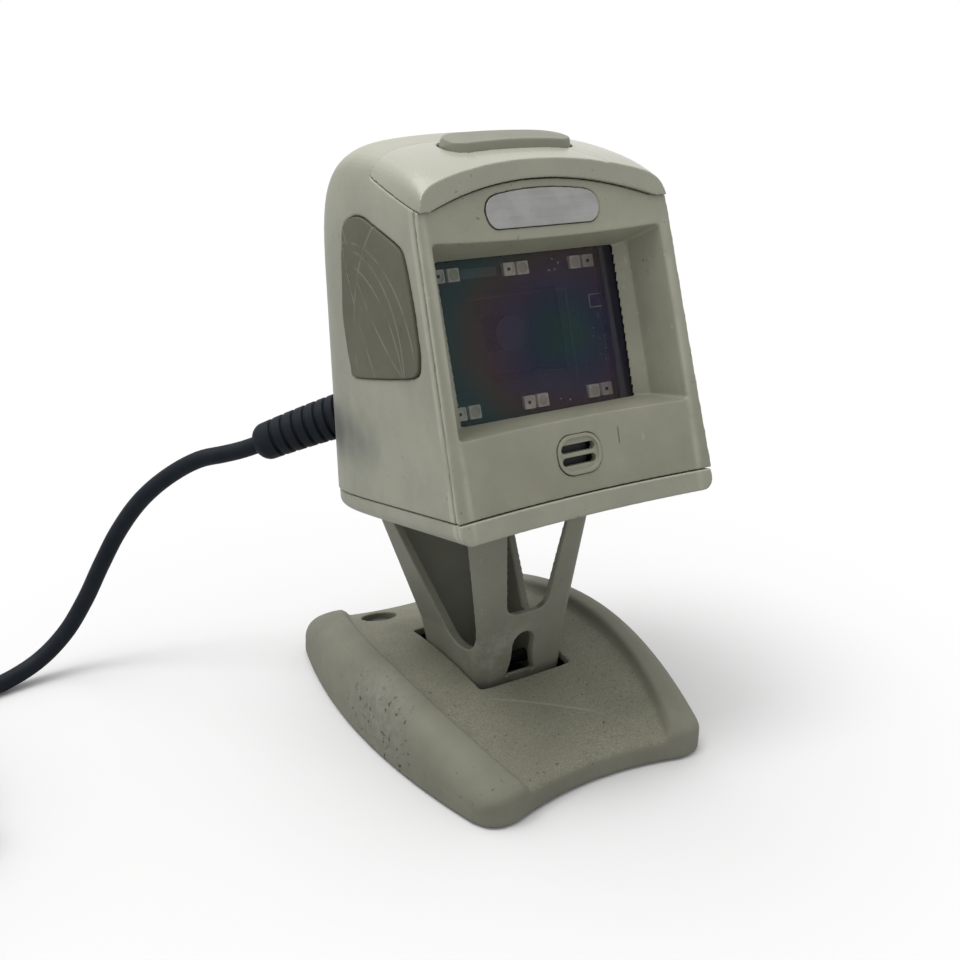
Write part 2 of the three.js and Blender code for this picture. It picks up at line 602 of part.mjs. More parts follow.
// The pivot seen from the head frame.
const pivotFromHead = new THREE.Vector2(PIVOT_Y - HEAD_AT.y, PIVOT_Z - HEAD_AT.z);
const PIVOT_HEAD = [
  pivotFromHead.x * Math.cos(HEAD_TILT) - pivotFromHead.y * Math.sin(HEAD_TILT),
  pivotFromHead.x * Math.sin(HEAD_TILT) + pivotFromHead.y * Math.cos(HEAD_TILT),
];
const NECK_FOOT = PIVOT_HEAD[1] - 4.4;

function neck() {
  const shell = neckBlock(0).subtract(neckBlock(NECK_WALL));
  const windowShape = new THREE.Shape();
  windowShape.moveTo(-10.6, NECK_TOP - NECK_WALL);
  windowShape.lineTo(-7.4, -36);
  windowShape.quadraticCurveTo(-7, -39.6, -3.6, -39.8);
  windowShape.lineTo(3.6, -39.8);
  windowShape.quadraticCurveTo(7, -39.6, 7.4, -36);
  windowShape.lineTo(10.6, NECK_TOP - NECK_WALL);
  const frontWindow = solid(frontPrism(windowShape, 10, 54));
  const archShape = new THREE.Shape();
  archShape.moveTo(-5.4, -61);
  archShape.quadraticCurveTo(-3.7, -58, -3.7, -53);
  archShape.lineTo(-3.7, -50.4);
  archShape.absarc(0, -50.4, 3.7, Math.PI, 0, true);
  archShape.lineTo(3.7, -53);
  archShape.quadraticCurveTo(3.7, -58, 5.4, -61);
  const archSlot = solid(frontPrism(archShape, 30, 56));
  const sideShape = new THREE.Shape();
  sideShape.moveTo(36.6, NECK_TOP - NECK_WALL);
  sideShape.lineTo(43, -40);
  sideShape.quadraticCurveTo(44.6, -49.4, 51, -50.4);
  sideShape.quadraticCurveTo(58.6, -51, 63.4, -46);
  sideShape.lineTo(82, NECK_TOP - NECK_WALL);
  const sideOpening = sidePrism(sideShape, -30, 30);
  const shaftBore = rod('x', -30, 30, BORE_RADIUS, PIVOT_HEAD, 24);
  const cableHole = rod('z', -20, 0, 5, [0, 60], 20);
  return shell.subtract(frontWindow).subtract(archSlot).subtract(sideOpening).subtract(shaftBore)
    .subtract(cableHole).subtract(neckScrewHole(-1)).subtract(neckScrewHole(1));
}

function neckScrewHole(side) {
  return rod('z', -20, 0, 2.1, [side * 11, 60], 16);
}

function neckScrew(side) {
  const at = [side * 11, 60];
  const head = rod('z', NECK_TOP - NECK_WALL - 2.2, NECK_TOP - NECK_WALL - GAP, 3.4, at, 18);
  return head.add(rod('z', NECK_TOP - NECK_WALL - GAP - 0.1, -BAND_HEIGHT + WALL + 3, 1.7, at, 14));
}

// ---------------------------------------------------------------- base shell
function plateHeight(y) {
  return PLATE_TOP - PLATE_ARCH * y * y;
}

// Raised rails with an arched plate between them; inset gives the hollow underneath.
function baseBlock(inset, floor) {
  const stations = [0, 0.15, 0.3, 0.45, 0.6, 0.74, 0.85, 0.92, 0.962, 0.985, 1];
  const along = [...stations.slice(1).reverse().map((t) => -t), ...stations];
  const railSteps = 6;
  const across = 3;
  const length = BASE_HALF_LENGTH - inset;
  const sideLength = length - BASE_TIP_ROUND * 0.757;
  const section = (t) => {
    const fromWidest = t * sideLength - BASE_WIDEST_Y;
    const outerX = BASE_HALF_WIDTH - BASE_BARREL * fromWidest * fromWidest - inset;
    const crestX = CREST_X - CREST_PULL * t * t;
    const edge = Math.max(0, (Math.abs(t) - 0.962) / 0.038);
    const roll = 2.2 * (1 - Math.sqrt(Math.max(0, 1 - edge * edge)));
    const plate = plateHeight(t * BASE_HALF_LENGTH) - inset - roll;
    const crest = plate + CREST_RISE - CREST_FADE * t * t;
    const points = [[outerX, 3]];
    for (let i = 1; i <= railSteps; i += 1) {
      const angle = (i / railSteps) * Math.PI / 2;
      points.push([crestX + (outerX - crestX) * Math.cos(angle) ** 0.75, 3 + (crest - 3) * Math.sin(angle) ** 0.8]);
    }
    points.push([crestX - 1.5, crest - 0.7], [crestX - 2.7, plate + 0.6], [crestX - 3.8 - inset * 0.4, plate]);
    for (let i = 1; i <= across; i += 1) points.push([(crestX - 3.8) * (1 - i / across), plate]);
    const top = [...points, ...points.slice(0, -1).reverse().map(([x, z]) => [-x, z])];
    const bottom = [...top].reverse().map(([x]) => [x, floor]);
    return [...top, ...bottom].map(([x, z]) => {
      const ax = Math.abs(x);
      const hollow = ax < 28 ? BASE_END_HOLLOW * (1 - (ax / 28) ** 2) : 0;
      const past = Math.min(0.97, Math.max(0, (ax - outerX + BASE_TIP_ROUND) / BASE_TIP_ROUND));
      const round = BASE_TIP_ROUND * (1 - Math.sqrt(1 - past * past));
      return new THREE.Vector3(x, t * (length - hollow - round), z);
    });
  };
  const rings = along.map(section);
  const count = rings[0].length;
  const last = rings.length - 1;
  // The first and last rows drop straight down to the floor, which makes the upright end faces.
  const point = (u, v, target) => {
    const row = Math.round(v * (last + 2));
    const ring = rings[Math.min(last, Math.max(0, row - 1))];
    target.copy(ring[Math.round(u * count) % count]);
    if (row === 0 || row === last + 2) target.z = floor;
  };
  const geometry = new ParametricGeometry(point, count, last + 2);
  const made = solid(geometry);
  return made.volume() < 0 ? solid(flipped(geometry)) : made;
}

const holeSpots = [[-HOLE_AT.x, HOLE_AT.y], [HOLE_AT.x, HOLE_AT.y]];

function baseShell() {
  let shell = baseBlock(0, BASE_RIM).subtract(baseBlock(WALL, BASE_RIM - 3));
  const [hy, seat] = [HOLE_AT.y, plateHeight(HOLE_AT.y) - HOLE_AT.seat];
  for (const [x] of holeSpots) {
    shell = shell.add(rod('z', seat - 2, plateHeight(hy) - WALL, HOLE_AT.radius + 1.8, [x, hy], 28));
  }
  for (const [x, y] of baseScrewSpots) {
    shell = shell.add(rod('z', BASE_RIM + 1.6 + GAP, plateHeight(y) - 2.4, 3.6, [x, y], 20));
    shell = shell.subtract(rod('z', -5, 6, 1.8, [x, y], 14));
  }
  for (const [x] of holeSpots) {
    shell = shell.subtract(rod('z', seat, 40, HOLE_AT.radius, [x, hy], 28));
    shell = shell.subtract(rod('z', -5, seat + 1, 2.6, [x, hy], 18));
  }
  const slotShape = roundedRect(SLOT_HALF, (SLOT_BACK - SLOT_FRONT) / 2, 1.2, 0, (SLOT_FRONT + SLOT_BACK) / 2);
  const slot = new THREE.ExtrudeGeometry(slotShape, { depth: 40, bevelEnabled: false, curveSegments: 3 });
  return shell.subtract(solid(slot));
}

function basePlate() {
  const inside = baseBlock(WALL + GAP, -3);
  let plate = inside.intersect(box(-60, 60, -70, 70, BASE_RIM, BASE_RIM + 1.6));
  for (const [x, y] of holeSpots) plate = plate.subtract(rod('z', -5, 10, 3.4, [x, y], 18));
  for (const [x, y] of footSpots) plate = plate.subtract(rod('z', -1, 6, 2.2, [x, y], 14));
  for (const [x, y] of baseScrewSpots) plate = plate.subtract(rod('z', -1, 6, 1.9, [x, y], 14));
  return plate;
}

const footSpots = [[-33, -38], [33, -38], [-33, 38], [33, 38]];
const baseScrewSpots = [[0, -47], [0, 48]];

function foot([x, y]) {
  const pad = rod('z', 0, BASE_RIM - 0.1, FOOT_RADIUS, [x, y], 24);
  return pad.add(rod('z', BASE_RIM - 0.2, BASE_RIM + 3, 1.9, [x, y], 14));
}

function ballast(y0, y1) {
  return box(-24, 24, y0, y1, BASE_RIM + 1.6 + GAP, 6.4);
}

function bracket(side) {
  const [x0, x1] = side < 0 ? [-BRACKET_OUT, -BRACKET_IN] : [BRACKET_IN, BRACKET_OUT];
  const shape = polygon([[-9, BASE_RIM + 1.6 + GAP], [9, BASE_RIM + 1.6 + GAP], [5.4, 14.6], [-5.4, 14.6]]);
  return sidePrism(shape, x0, x1).subtract(rod('x', -30, 30, BORE_RADIUS, [PIVOT_Y, PIVOT_Z], 24));
}

function pivotShaft() {
  const at = [PIVOT_Y, PIVOT_Z];
  return rod('x', -BRACKET_OUT - 0.3, BRACKET_OUT + 3.6, SHAFT_RADIUS, at, 24)
    .add(rod('x', -BRACKET_OUT - 2.2, -BRACKET_OUT - 0.3, 3.6, at, 24));
}

function frictionWasher(side) {
  const [from, to] = side < 0 ? [-BRACKET_IN + GAP, -NECK_HALF - GAP] : [NECK_HALF + GAP, BRACKET_IN - GAP];
  return ring('x', Math.min(from, to), Math.max(from, to), 4, BORE_RADIUS, [PIVOT_Y, PIVOT_Z], 24);
}

function lockNut() {
  return rod('x', BRACKET_OUT + GAP, BRACKET_OUT + 3, 3.8, [PIVOT_Y, PIVOT_Z], 6)
    .subtract(rod('x', 0, 40, BORE_RADIUS, [PIVOT_Y, PIVOT_Z], 24));
}

function baseScrew([x, y]) {
  return rod('z', 0.4, BASE_RIM - 0.1, 3.2, [x, y], 18).add(rod('z', BASE_RIM - 0.2, 5.6, 1.5, [x, y], 12));
}

// ---------------------------------------------------------------- cable
// The boot leaves the rear left corner of the head; its own axis runs along its length.
const BOOT_AT = new THREE.Vector3(-28.5, 80.6, 22.4);
const BOOT_WAY = new THREE.Vector3(-0.74, 0.64, -0.2).normalize();

function bootBody(grow, from, to) {
  const radiusAt = (s) => BOOT_ROOT + (BOOT_TIP - BOOT_ROOT) * Math.max(0, s) / BOOT_LENGTH + grow;
  const geometry = new THREE.CylinderGeometry(radiusAt(to), radiusAt(from), to - from, 20);
  geometry.translate(0, (from + to) / 2, 0);
  const turn = new THREE.Quaternion().setFromUnitVectors(new THREE.Vector3(0, 1, 0), BOOT_WAY);
  geometry.applyQuaternion(turn);
  geometry.translate(BOOT_AT.x, BOOT_AT.y, BOOT_AT.z);
  return solid(geometry);
}

function boot() {
  return bootBody(0, -6, BOOT_LENGTH);
}

function cable() {
  const curve = new THREE.CatmullRomCurve3(CABLE_ROUTE.map((p) => new THREE.Vector3(...p)));
  const section = new THREE.Shape();
  const sides = 10;
  for (let i = 0; i < sides; i += 1) {
    const angle = 2 * Math.PI * i / sides;
    const [x, y] = [CABLE_RADIUS * Math.cos(angle), CABLE_RADIUS * Math.sin(angle)];
    if (i === 0) section.moveTo(x, y);
    else section.lineTo(x, y);
  }
  section.closePath();
  return solid(new THREE.ExtrudeGeometry(section, { steps: CABLE_STEPS, extrudePath: curve, bevelEnabled: false }));
}

// The stored turns as one ring of rounded-square section.
function cableCoil() {
  const [inner, outer] = [COIL_RADII[0] - CABLE_RADIUS, COIL_RADII[1] + CABLE_RADIUS];
  const [low, high] = [COIL_LAYERS[0] - CABLE_RADIUS, COIL_LAYERS[1] + CABLE_RADIUS];
  const cut = 2;
  const profile = [[inner, low + cut], [inner + cut, low], [outer - cut, low], [outer, low + cut],
    [outer, high - cut], [outer - cut, high], [inner + cut, high], [inner, high - cut], [inner, low + cut]];
  const geometry = new THREE.LatheGeometry(profile.map(([r, z]) => new THREE.Vector2(r, z)), 48);
  geometry.rotateX(Math.PI / 2);
  geometry.translate(COIL_AT.x, COIL_AT.y, 0);
  const made = solid(geometry);
  return made.volume() < 0 ? solid(flipped(geometry)) : made;
}

// Places a solid made along +X through the origin at a point of the coil, square to its radius.
function onCoil(manifold, degrees, radius, z) {
  const angle = THREE.MathUtils.degToRad(degrees);
  const turned = manifold.rotate([0, 0, degrees]);
  return turned.translate([COIL_AT.x + radius * Math.cos(angle), COIL_AT.y + radius * Math.sin(angle), z]);
}

function cableTie() {
  const halfAcross = (COIL_RADII[1] - COIL_RADII[0]) / 2 + CABLE_RADIUS + GAP;
  const halfUp = (COIL_LAYERS[1] - COIL_LAYERS[0]) / 2 + CABLE_RADIUS + GAP;
  const outside = roundedRect(halfAcross + TIE_THICK, halfUp + TIE_THICK, 2.5);
  const inside = roundedRect(halfAcross, halfUp, 1.5);
  const band = solid(frontPrism(outside, -TIE_HALF, TIE_HALF)).subtract(solid(frontPrism(inside, -9, 9)));
  const middle = (COIL_RADII[0] + COIL_RADII[1]) / 2;
  return onCoil(band, TIE_ANGLE, middle, (COIL_LAYERS[0] + COIL_LAYERS[1]) / 2);
}

function usbPlug() {
  const { halfWidth, halfHeight, length, shellHalf, shellHalfHeight, shell } = PLUG;
  const handle = solid(sidewaysBar(halfWidth, halfHeight, 2.4, 0, length));
  const tongue = solid(sidewaysBar(shellHalf, shellHalfHeight, 0.5, length - 1, length + shell));
  const mouth = solid(sidewaysBar(shellHalf - 0.6, shellHalfHeight - 0.6, 0.3, length + 1.5, length + shell + 1));
  const made = handle.add(tongue.subtract(mouth)).rotate([0, 0, 90]).translate([0, -length / 2, 0]);
  const top = COIL_LAYERS[1] + CABLE_RADIUS + GAP + halfHeight;
  return onCoil(made, PLUG_ANGLE, (COIL_RADII[0] + COIL_RADII[1]) / 2, top);
}

// A rounded bar along +X.
function sidewaysBar(halfWidth, halfHeight, radius, x0, x1) {
  const shape = roundedRect(halfWidth, halfHeight, radius);
  const geometry = new THREE.ExtrudeGeometry(shape, { depth: x1 - x0, bevelEnabled: false, curveSegments: 4 });
  const axes = new THREE.Matrix4().set(0, 0, 1, x0, 1, 0, 0, 0, 0, 1, 0, 0, 0, 0, 0, 1);
  return geometry.applyMatrix4(axes);
}

// ---------------------------------------------------------------- assembly
function part(name, manifold, colourName) {
  const [color, roughness, metalness] = COLOURS[colourName];
  const material = new THREE.MeshStandardMaterial({ color, roughness, metalness });
  const mesh = new THREE.Mesh(toGeometry(manifold), material);
  mesh.name = name;
  return mesh;
}

const group = new THREE.Group();
const headGroup = new THREE.Group();
headGroup.position.copy(HEAD_AT);
headGroup.rotation.x = -HEAD_TILT;

group.add(part('base_shell', baseShell(), 'base'));
group.add(part('base_plate', basePlate(), 'cast'));
group.add(part('ballast_front', ballast(-42.5, -24), 'steel'));
group.add(part('ballast_rear', ballast(25, 36.5), 'steel'));
footSpots.forEach((spot, i) => group.add(part(`foot_${i + 1}`, foot(spot), 'rubber')));
baseScrewSpots.forEach((spot, i) => group.add(part(`base_screw_${i + 1}`, baseScrew(spot), 'steel')));
group.add(part('pivot_bracket_left', bracket(-1), 'cast'));
group.add(part('pivot_bracket_right', bracket(1), 'cast'));
group.add(part('pivot_shaft', pivotShaft(), 'steel'));
group.add(part('friction_washer_left', frictionWasher(-1), 'brass'));
group.add(part('friction_washer_right', frictionWasher(1), 'brass'));
group.add(part('lock_nut', lockNut(), 'steel'));

headGroup.add(part('neck', neck(), 'side'));
headGroup.add(part('neck_screw_left', neckScrew(-1), 'steel'));
headGroup.add(part('neck_screw_right', neckScrew(1), 'steel'));
headGroup.add(part('bottom_cover', bottomCover(), 'side'));
headGroup.add(part('rear_housing', rearHousing(), 'side'));
headGroup.add(part('front_bezel', frontBezel(), 'front'));
headGroup.add(part('top_cover', topCover(), 'roof'));
headGroup.add(part('side_grip_left', gripBody(-1, 0, GAP), 'grip'));
headGroup.add(part('side_grip_right', gripBody(1, 0, GAP), 'grip'));
headGroup.add(part('badge_plate', badge(), 'badge'));
headGroup.add(part('speaker_grille', speakerGrille(), 'front'));
headGroup.add(part('beeper', beeper(), 'black'));
headGroup.add(part('scan_window', scanWindow(), 'glass'));
headGroup.add(part('light_baffle', lightBaffle(), 'black'));
headGroup.add(part('illumination_board', illuminationBoard(), 'board'));
LED_ROWS.forEach((z, row) => LED_PAIRS.forEach((x, pair) => [-1, 1].forEach((side, half) => {
  const number = row * 6 + pair * 2 + half + 1;
  headGroup.add(part(`led_${number}`, led(x + side * LED_PITCH / 2, z), 'led'));
})));
headGroup.add(part('camera_housing', cameraHousing(), 'black'));
headGroup.add(part('lens_barrel', lensBarrel(), 'black'));
headGroup.add(part('camera_board', cameraBoard(), 'board'));
headGroup.add(part('main_board', mainBoard(), 'board'));
headGroup.add(part('board_screw_left', boardScrew(-27), 'steel'));
headGroup.add(part('board_screw_right', boardScrew(27), 'steel'));
headGroup.add(part('cable_header', cableHeader(), 'black'));
headGroup.add(part('switch_board', switchBoard(), 'board'));
headGroup.add(part('tact_switch', tactSwitch(), 'black'));
headGroup.add(part('switch_plunger', switchPlunger(), 'black'));
headGroup.add(part('button_spring', buttonSpring(), 'steel'));
headGroup.add(part('top_button', topButton(), 'button'));
headGroup.add(part('strain_relief', boot(), 'rubber'));
group.add(headGroup);
group.add(part('cable', cable(), 'rubber'));
group.add(part('cable_coil', cableCoil(), 'rubber'));
group.add(part('cable_tie', cableTie(), 'black'));
group.add(part('usb_plug', usbPlug(), 'black'));

export default group;
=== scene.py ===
"""Presentation barcode scanner on a tilting stand: the looks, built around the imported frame."""
import json
import math

import bmesh
import bpy
from mathutils import Matrix, Vector
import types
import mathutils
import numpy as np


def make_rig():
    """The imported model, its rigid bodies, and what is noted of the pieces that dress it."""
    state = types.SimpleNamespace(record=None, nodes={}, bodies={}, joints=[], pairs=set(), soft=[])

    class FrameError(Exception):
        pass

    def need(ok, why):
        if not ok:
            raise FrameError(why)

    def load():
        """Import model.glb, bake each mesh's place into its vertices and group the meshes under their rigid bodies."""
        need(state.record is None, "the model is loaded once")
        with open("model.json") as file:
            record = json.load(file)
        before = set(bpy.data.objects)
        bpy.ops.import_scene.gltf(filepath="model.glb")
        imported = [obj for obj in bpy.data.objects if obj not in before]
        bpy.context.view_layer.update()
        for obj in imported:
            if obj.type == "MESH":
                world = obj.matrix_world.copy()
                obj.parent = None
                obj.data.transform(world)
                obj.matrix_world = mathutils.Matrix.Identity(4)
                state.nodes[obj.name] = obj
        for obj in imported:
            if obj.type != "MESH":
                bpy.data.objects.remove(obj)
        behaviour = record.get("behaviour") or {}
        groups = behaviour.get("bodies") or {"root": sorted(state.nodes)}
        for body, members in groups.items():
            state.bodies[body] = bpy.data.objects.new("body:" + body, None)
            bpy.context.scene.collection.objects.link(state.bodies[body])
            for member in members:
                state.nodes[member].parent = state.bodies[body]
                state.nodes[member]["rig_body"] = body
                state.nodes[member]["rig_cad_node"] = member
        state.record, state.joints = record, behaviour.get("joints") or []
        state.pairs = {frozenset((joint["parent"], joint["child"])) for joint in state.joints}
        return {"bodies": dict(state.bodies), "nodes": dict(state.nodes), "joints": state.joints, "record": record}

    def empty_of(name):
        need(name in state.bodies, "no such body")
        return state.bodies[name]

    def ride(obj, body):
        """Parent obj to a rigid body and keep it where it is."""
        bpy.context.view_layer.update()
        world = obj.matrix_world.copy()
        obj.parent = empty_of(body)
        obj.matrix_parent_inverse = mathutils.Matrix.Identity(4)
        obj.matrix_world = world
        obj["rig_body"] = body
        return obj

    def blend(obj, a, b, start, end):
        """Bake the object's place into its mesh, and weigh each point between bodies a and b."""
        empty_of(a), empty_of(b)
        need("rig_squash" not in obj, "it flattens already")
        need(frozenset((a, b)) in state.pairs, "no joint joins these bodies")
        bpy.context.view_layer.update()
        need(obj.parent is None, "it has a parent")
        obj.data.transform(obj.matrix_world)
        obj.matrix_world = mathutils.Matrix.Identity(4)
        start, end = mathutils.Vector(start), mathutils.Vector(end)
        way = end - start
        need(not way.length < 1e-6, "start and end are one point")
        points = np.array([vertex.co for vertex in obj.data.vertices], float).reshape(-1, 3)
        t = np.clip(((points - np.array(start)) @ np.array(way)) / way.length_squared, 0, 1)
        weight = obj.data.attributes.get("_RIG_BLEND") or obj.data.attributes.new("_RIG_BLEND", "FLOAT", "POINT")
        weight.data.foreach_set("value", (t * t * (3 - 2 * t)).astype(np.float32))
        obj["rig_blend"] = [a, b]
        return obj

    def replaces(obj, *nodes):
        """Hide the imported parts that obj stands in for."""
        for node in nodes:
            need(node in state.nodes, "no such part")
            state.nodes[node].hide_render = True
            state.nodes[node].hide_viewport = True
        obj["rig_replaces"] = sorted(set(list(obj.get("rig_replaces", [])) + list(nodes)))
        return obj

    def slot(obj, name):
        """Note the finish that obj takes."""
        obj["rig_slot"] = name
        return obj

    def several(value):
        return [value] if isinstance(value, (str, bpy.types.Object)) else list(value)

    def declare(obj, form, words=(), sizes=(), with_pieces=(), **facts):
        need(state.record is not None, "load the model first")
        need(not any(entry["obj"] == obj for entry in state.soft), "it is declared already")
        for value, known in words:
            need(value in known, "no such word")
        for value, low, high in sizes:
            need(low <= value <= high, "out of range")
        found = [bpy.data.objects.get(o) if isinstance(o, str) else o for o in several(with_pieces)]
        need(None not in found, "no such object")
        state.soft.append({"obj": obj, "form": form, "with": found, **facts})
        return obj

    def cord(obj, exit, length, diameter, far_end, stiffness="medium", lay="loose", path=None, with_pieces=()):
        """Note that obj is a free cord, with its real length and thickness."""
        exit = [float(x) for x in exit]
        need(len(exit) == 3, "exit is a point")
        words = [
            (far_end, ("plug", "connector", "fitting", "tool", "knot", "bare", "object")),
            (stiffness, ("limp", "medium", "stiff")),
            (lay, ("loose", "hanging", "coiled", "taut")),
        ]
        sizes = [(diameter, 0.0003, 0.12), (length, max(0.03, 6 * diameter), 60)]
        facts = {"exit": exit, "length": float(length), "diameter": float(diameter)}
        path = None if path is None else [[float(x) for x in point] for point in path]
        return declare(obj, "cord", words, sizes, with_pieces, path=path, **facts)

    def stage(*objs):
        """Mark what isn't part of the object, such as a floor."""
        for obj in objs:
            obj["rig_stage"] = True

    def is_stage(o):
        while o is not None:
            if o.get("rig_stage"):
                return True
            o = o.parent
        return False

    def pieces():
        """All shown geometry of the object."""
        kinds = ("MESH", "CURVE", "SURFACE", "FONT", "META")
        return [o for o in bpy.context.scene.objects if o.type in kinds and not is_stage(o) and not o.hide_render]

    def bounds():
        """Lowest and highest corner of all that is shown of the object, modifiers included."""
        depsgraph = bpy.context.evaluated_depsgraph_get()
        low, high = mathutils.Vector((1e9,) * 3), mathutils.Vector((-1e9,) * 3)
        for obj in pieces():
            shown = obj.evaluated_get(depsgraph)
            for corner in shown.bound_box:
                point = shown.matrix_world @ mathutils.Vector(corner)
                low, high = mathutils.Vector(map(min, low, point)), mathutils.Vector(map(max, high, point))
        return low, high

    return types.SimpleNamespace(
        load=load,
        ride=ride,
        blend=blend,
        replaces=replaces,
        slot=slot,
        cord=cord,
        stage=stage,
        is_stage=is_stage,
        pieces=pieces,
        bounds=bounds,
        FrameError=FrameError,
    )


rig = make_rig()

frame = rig.load()
cad_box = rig.bounds()
nodes = frame["nodes"]
MM = 0.001

# ---- camera
camera_data = bpy.data.cameras.new("camera")
camera_data.sensor_width = 36
camera_data.lens = 41.75
camera_data.clip_start = 0.01
camera = bpy.data.objects.new("camera", camera_data)
camera.location = (-0.1619, -0.26405, 0.1917)
camera.rotation_euler = (math.radians(69.03), 0, math.radians(-30.85))
bpy.context.scene.collection.objects.link(camera)
bpy.context.scene.camera = camera

# ---- dimensions, in millimetres, as in the CAD
HEAD_TILT = math.radians(12.15)
HEAD_AT = Vector((0, -50.25, 85.4))
HEAD_MATRIX = Matrix.Scale(MM, 4) @ Matrix.Translation(HEAD_AT) @ Matrix.Rotation(-HEAD_TILT, 4, "X")
BASE_MATRIX = Matrix.Scale(MM, 4)
HEAD_HALF_WIDTH, HEAD_LENGTH = 40, 91.5
FRONT_HALF_WIDTH = 39
WALL = 2.5
GAP = 0.3
SEAM = 0.5
FRONT_LEAN = 0.104
FRONT_HOLLOW = 3.6
BAND_HEIGHT = 5.8
HOOD_BACK = 33.4
HOOD_CORNER = 37
HOOD_SEAM_TOP, HOOD_SEAM_DROP = 81.2, 8
WINDOW_DEPTH, LEDGE_DEPTH = 14, 11.6
SPEAKER_Z = 10.4
SLOT_RISE = 1.65
BUTTON_Y = 25.6
BADGE_Z = 73.9
CORNER_SEAM = 1.7                   # the bezel's edge shows this far behind the front corners
CABLE_RADIUS = 2.75


# ---- mesh helpers
def link(name, mesh):
    obj = bpy.data.objects.new(name, mesh)
    bpy.context.scene.collection.objects.link(obj)
    return obj


def from_faces(points, faces):
    """A closed mesh in millimetres, with doubled points merged and faces turned outwards."""
    mesh = bpy.data.meshes.new("form")
    mesh.from_pydata([tuple(p) for p in points], [], faces)
    bm = bmesh.new()
    bm.from_mesh(mesh)
    bmesh.ops.remove_doubles(bm, verts=bm.verts, dist=1e-4)
    bmesh.ops.dissolve_degenerate(bm, edges=bm.edges, dist=1e-5)
    bmesh.ops.recalc_face_normals(bm, faces=bm.faces)
    if bm.calc_volume(signed=True) < 0:
        bmesh.ops.reverse_faces(bm, faces=bm.faces)
    bm.to_mesh(mesh)
    bm.free()
    return link("form", mesh)


def band_faces(columns, rows):
    """Faces between each row of points and the next, closed round the columns."""
    faces = []
    for r in range(rows - 1):
        for c in range(columns):
            d = (c + 1) % columns
            faces.append((r * columns + c, r * columns + d, (r + 1) * columns + d, (r + 1) * columns + c))
    return faces


def grid(point, columns, rows):
    """A surface closed round its columns, through point(column, row)."""
    points = [point(c, r) for r in range(rows) for c in range(columns)]
    return from_faces(points, band_faces(columns, rows))


def loft(rings):
    """Closed solid through rings of as many points each."""
    count = len(rings[0])
    points = [p for ring in rings for p in ring]
    caps = [tuple(range(count)), tuple(range(len(points) - 1, len(points) - count - 1, -1))]
    return from_faces(points, caps + band_faces(count, len(rings)))


def prism(points, low, high, place):
    """A polygon pushed from low to high; place(a, b, t) puts a point of it in space."""
    return loft([[place(a, b, t) for a, b in points] for t in (low, high)])


def front_prism(points, y0, y1):
    return prism(points, y0, y1, lambda x, z, y: (x, y, z))


def leaning_prism(points, depth0, depth1):
    return prism(points, depth0, depth1, lambda x, z, y: (x, y + FRONT_LEAN * z, z))


def side_prism(points, x0, x1):
    return prism(points, x0, x1, lambda y, z, x: (x, y, z))


def up_prism(points, z0, z1):
    return prism(points, z0, z1, lambda x, y, z: (x, y, z))


def box(x0, x1, y0, y1, z0, z1):
    return up_prism([(x0, y0), (x1, y0), (x1, y1), (x0, y1)], z0, z1)


def circle(sides):
    turns = [2 * math.pi * i / sides for i in range(sides)]
    return [(math.cos(turn), math.sin(turn)) for turn in turns]


def rod(low, high, radius, at, sides=40):
    """An upright round bar."""
    return prism(circle(sides), low, high, lambda a, b, z: (at[0] + a * radius, at[1] + b * radius, z))


def rounded_rect(half_width, half_height, radius, cx=0, cy=0, steps=8):
    points = []
    for qx, qy, start in ((1, -1, -90), (1, 1, 0), (-1, 1, 90), (-1, -1, 180)):
        for i in range(steps + 1):
            angle = math.radians(start + 90 * i / steps)
            points.append((cx + qx * (half_width - radius) + radius * math.cos(angle),
                           cy + qy * (half_height - radius) + radius * math.sin(angle)))
    return points


def bend(points, steps=6):
    """A path of points; a triple is a curve's control point and end."""
    path = [points[0]]
    for p in points[1:]:
        if len(p) == 2:
            path.append(p)
            continue
        (x0, y0), (cx, cy, x1, y1) = path[-1], p
        for i in range(1, steps + 1):
            t = i / steps
            path.append(((1 - t) ** 2 * x0 + 2 * t * (1 - t) * cx + t * t * x1,
                         (1 - t) ** 2 * y0 + 2 * t * (1 - t) * cy + t * t * y1))
    return path


def hermite(t, start, start_way, end, end_way):
    """A point of the cubic curve between two points with given directions."""
    return (start * (2 * t ** 3 - 3 * t ** 2 + 1) + start_way * (t ** 3 - 2 * t ** 2 + t)
            + end * (-2 * t ** 3 + 3 * t ** 2) + end_way * (t ** 3 - t ** 2))


def apply_modifiers(obj):
    deps = bpy.context.evaluated_depsgraph_get()
    mesh = bpy.data.meshes.new_from_object(obj.evaluated_get(deps))
    obj.modifiers.clear()
    old = obj.data
    obj.data = mesh
    bpy.data.meshes.remove(old)
    return obj


def combine(obj, kind, *others):
    """obj with each of others cut away, kept or joined; the others are used up."""
    for other in others:
        modifier = obj.modifiers.new("combine", "BOOLEAN")
        modifier.operation = kind
        modifier.solver = "MANIFOLD"
        modifier.object = other
        apply_modifiers(obj)
        bpy.data.objects.remove(other)
    return obj


def cut(obj, *others):
    return combine(obj, "DIFFERENCE", *others)


def keep(obj, *others):
    return combine(obj, "INTERSECT", *others)


def join(obj, *others):
    return combine(obj, "UNION", *others)


def soften(obj, voxel, rounds, ratio):
    """Fine even mesh, with its edges rounded as a mould leaves them."""
    remesh = obj.modifiers.new("remesh", "REMESH")
    remesh.mode = "VOXEL"
    remesh.voxel_size = voxel
    apply_modifiers(obj)
    smooth = obj.modifiers.new("smooth", "SMOOTH")
    smooth.factor = 0.5
    smooth.iterations = rounds
    obj.modifiers.new("decimate", "DECIMATE").ratio = ratio
    return apply_modifiers(obj)


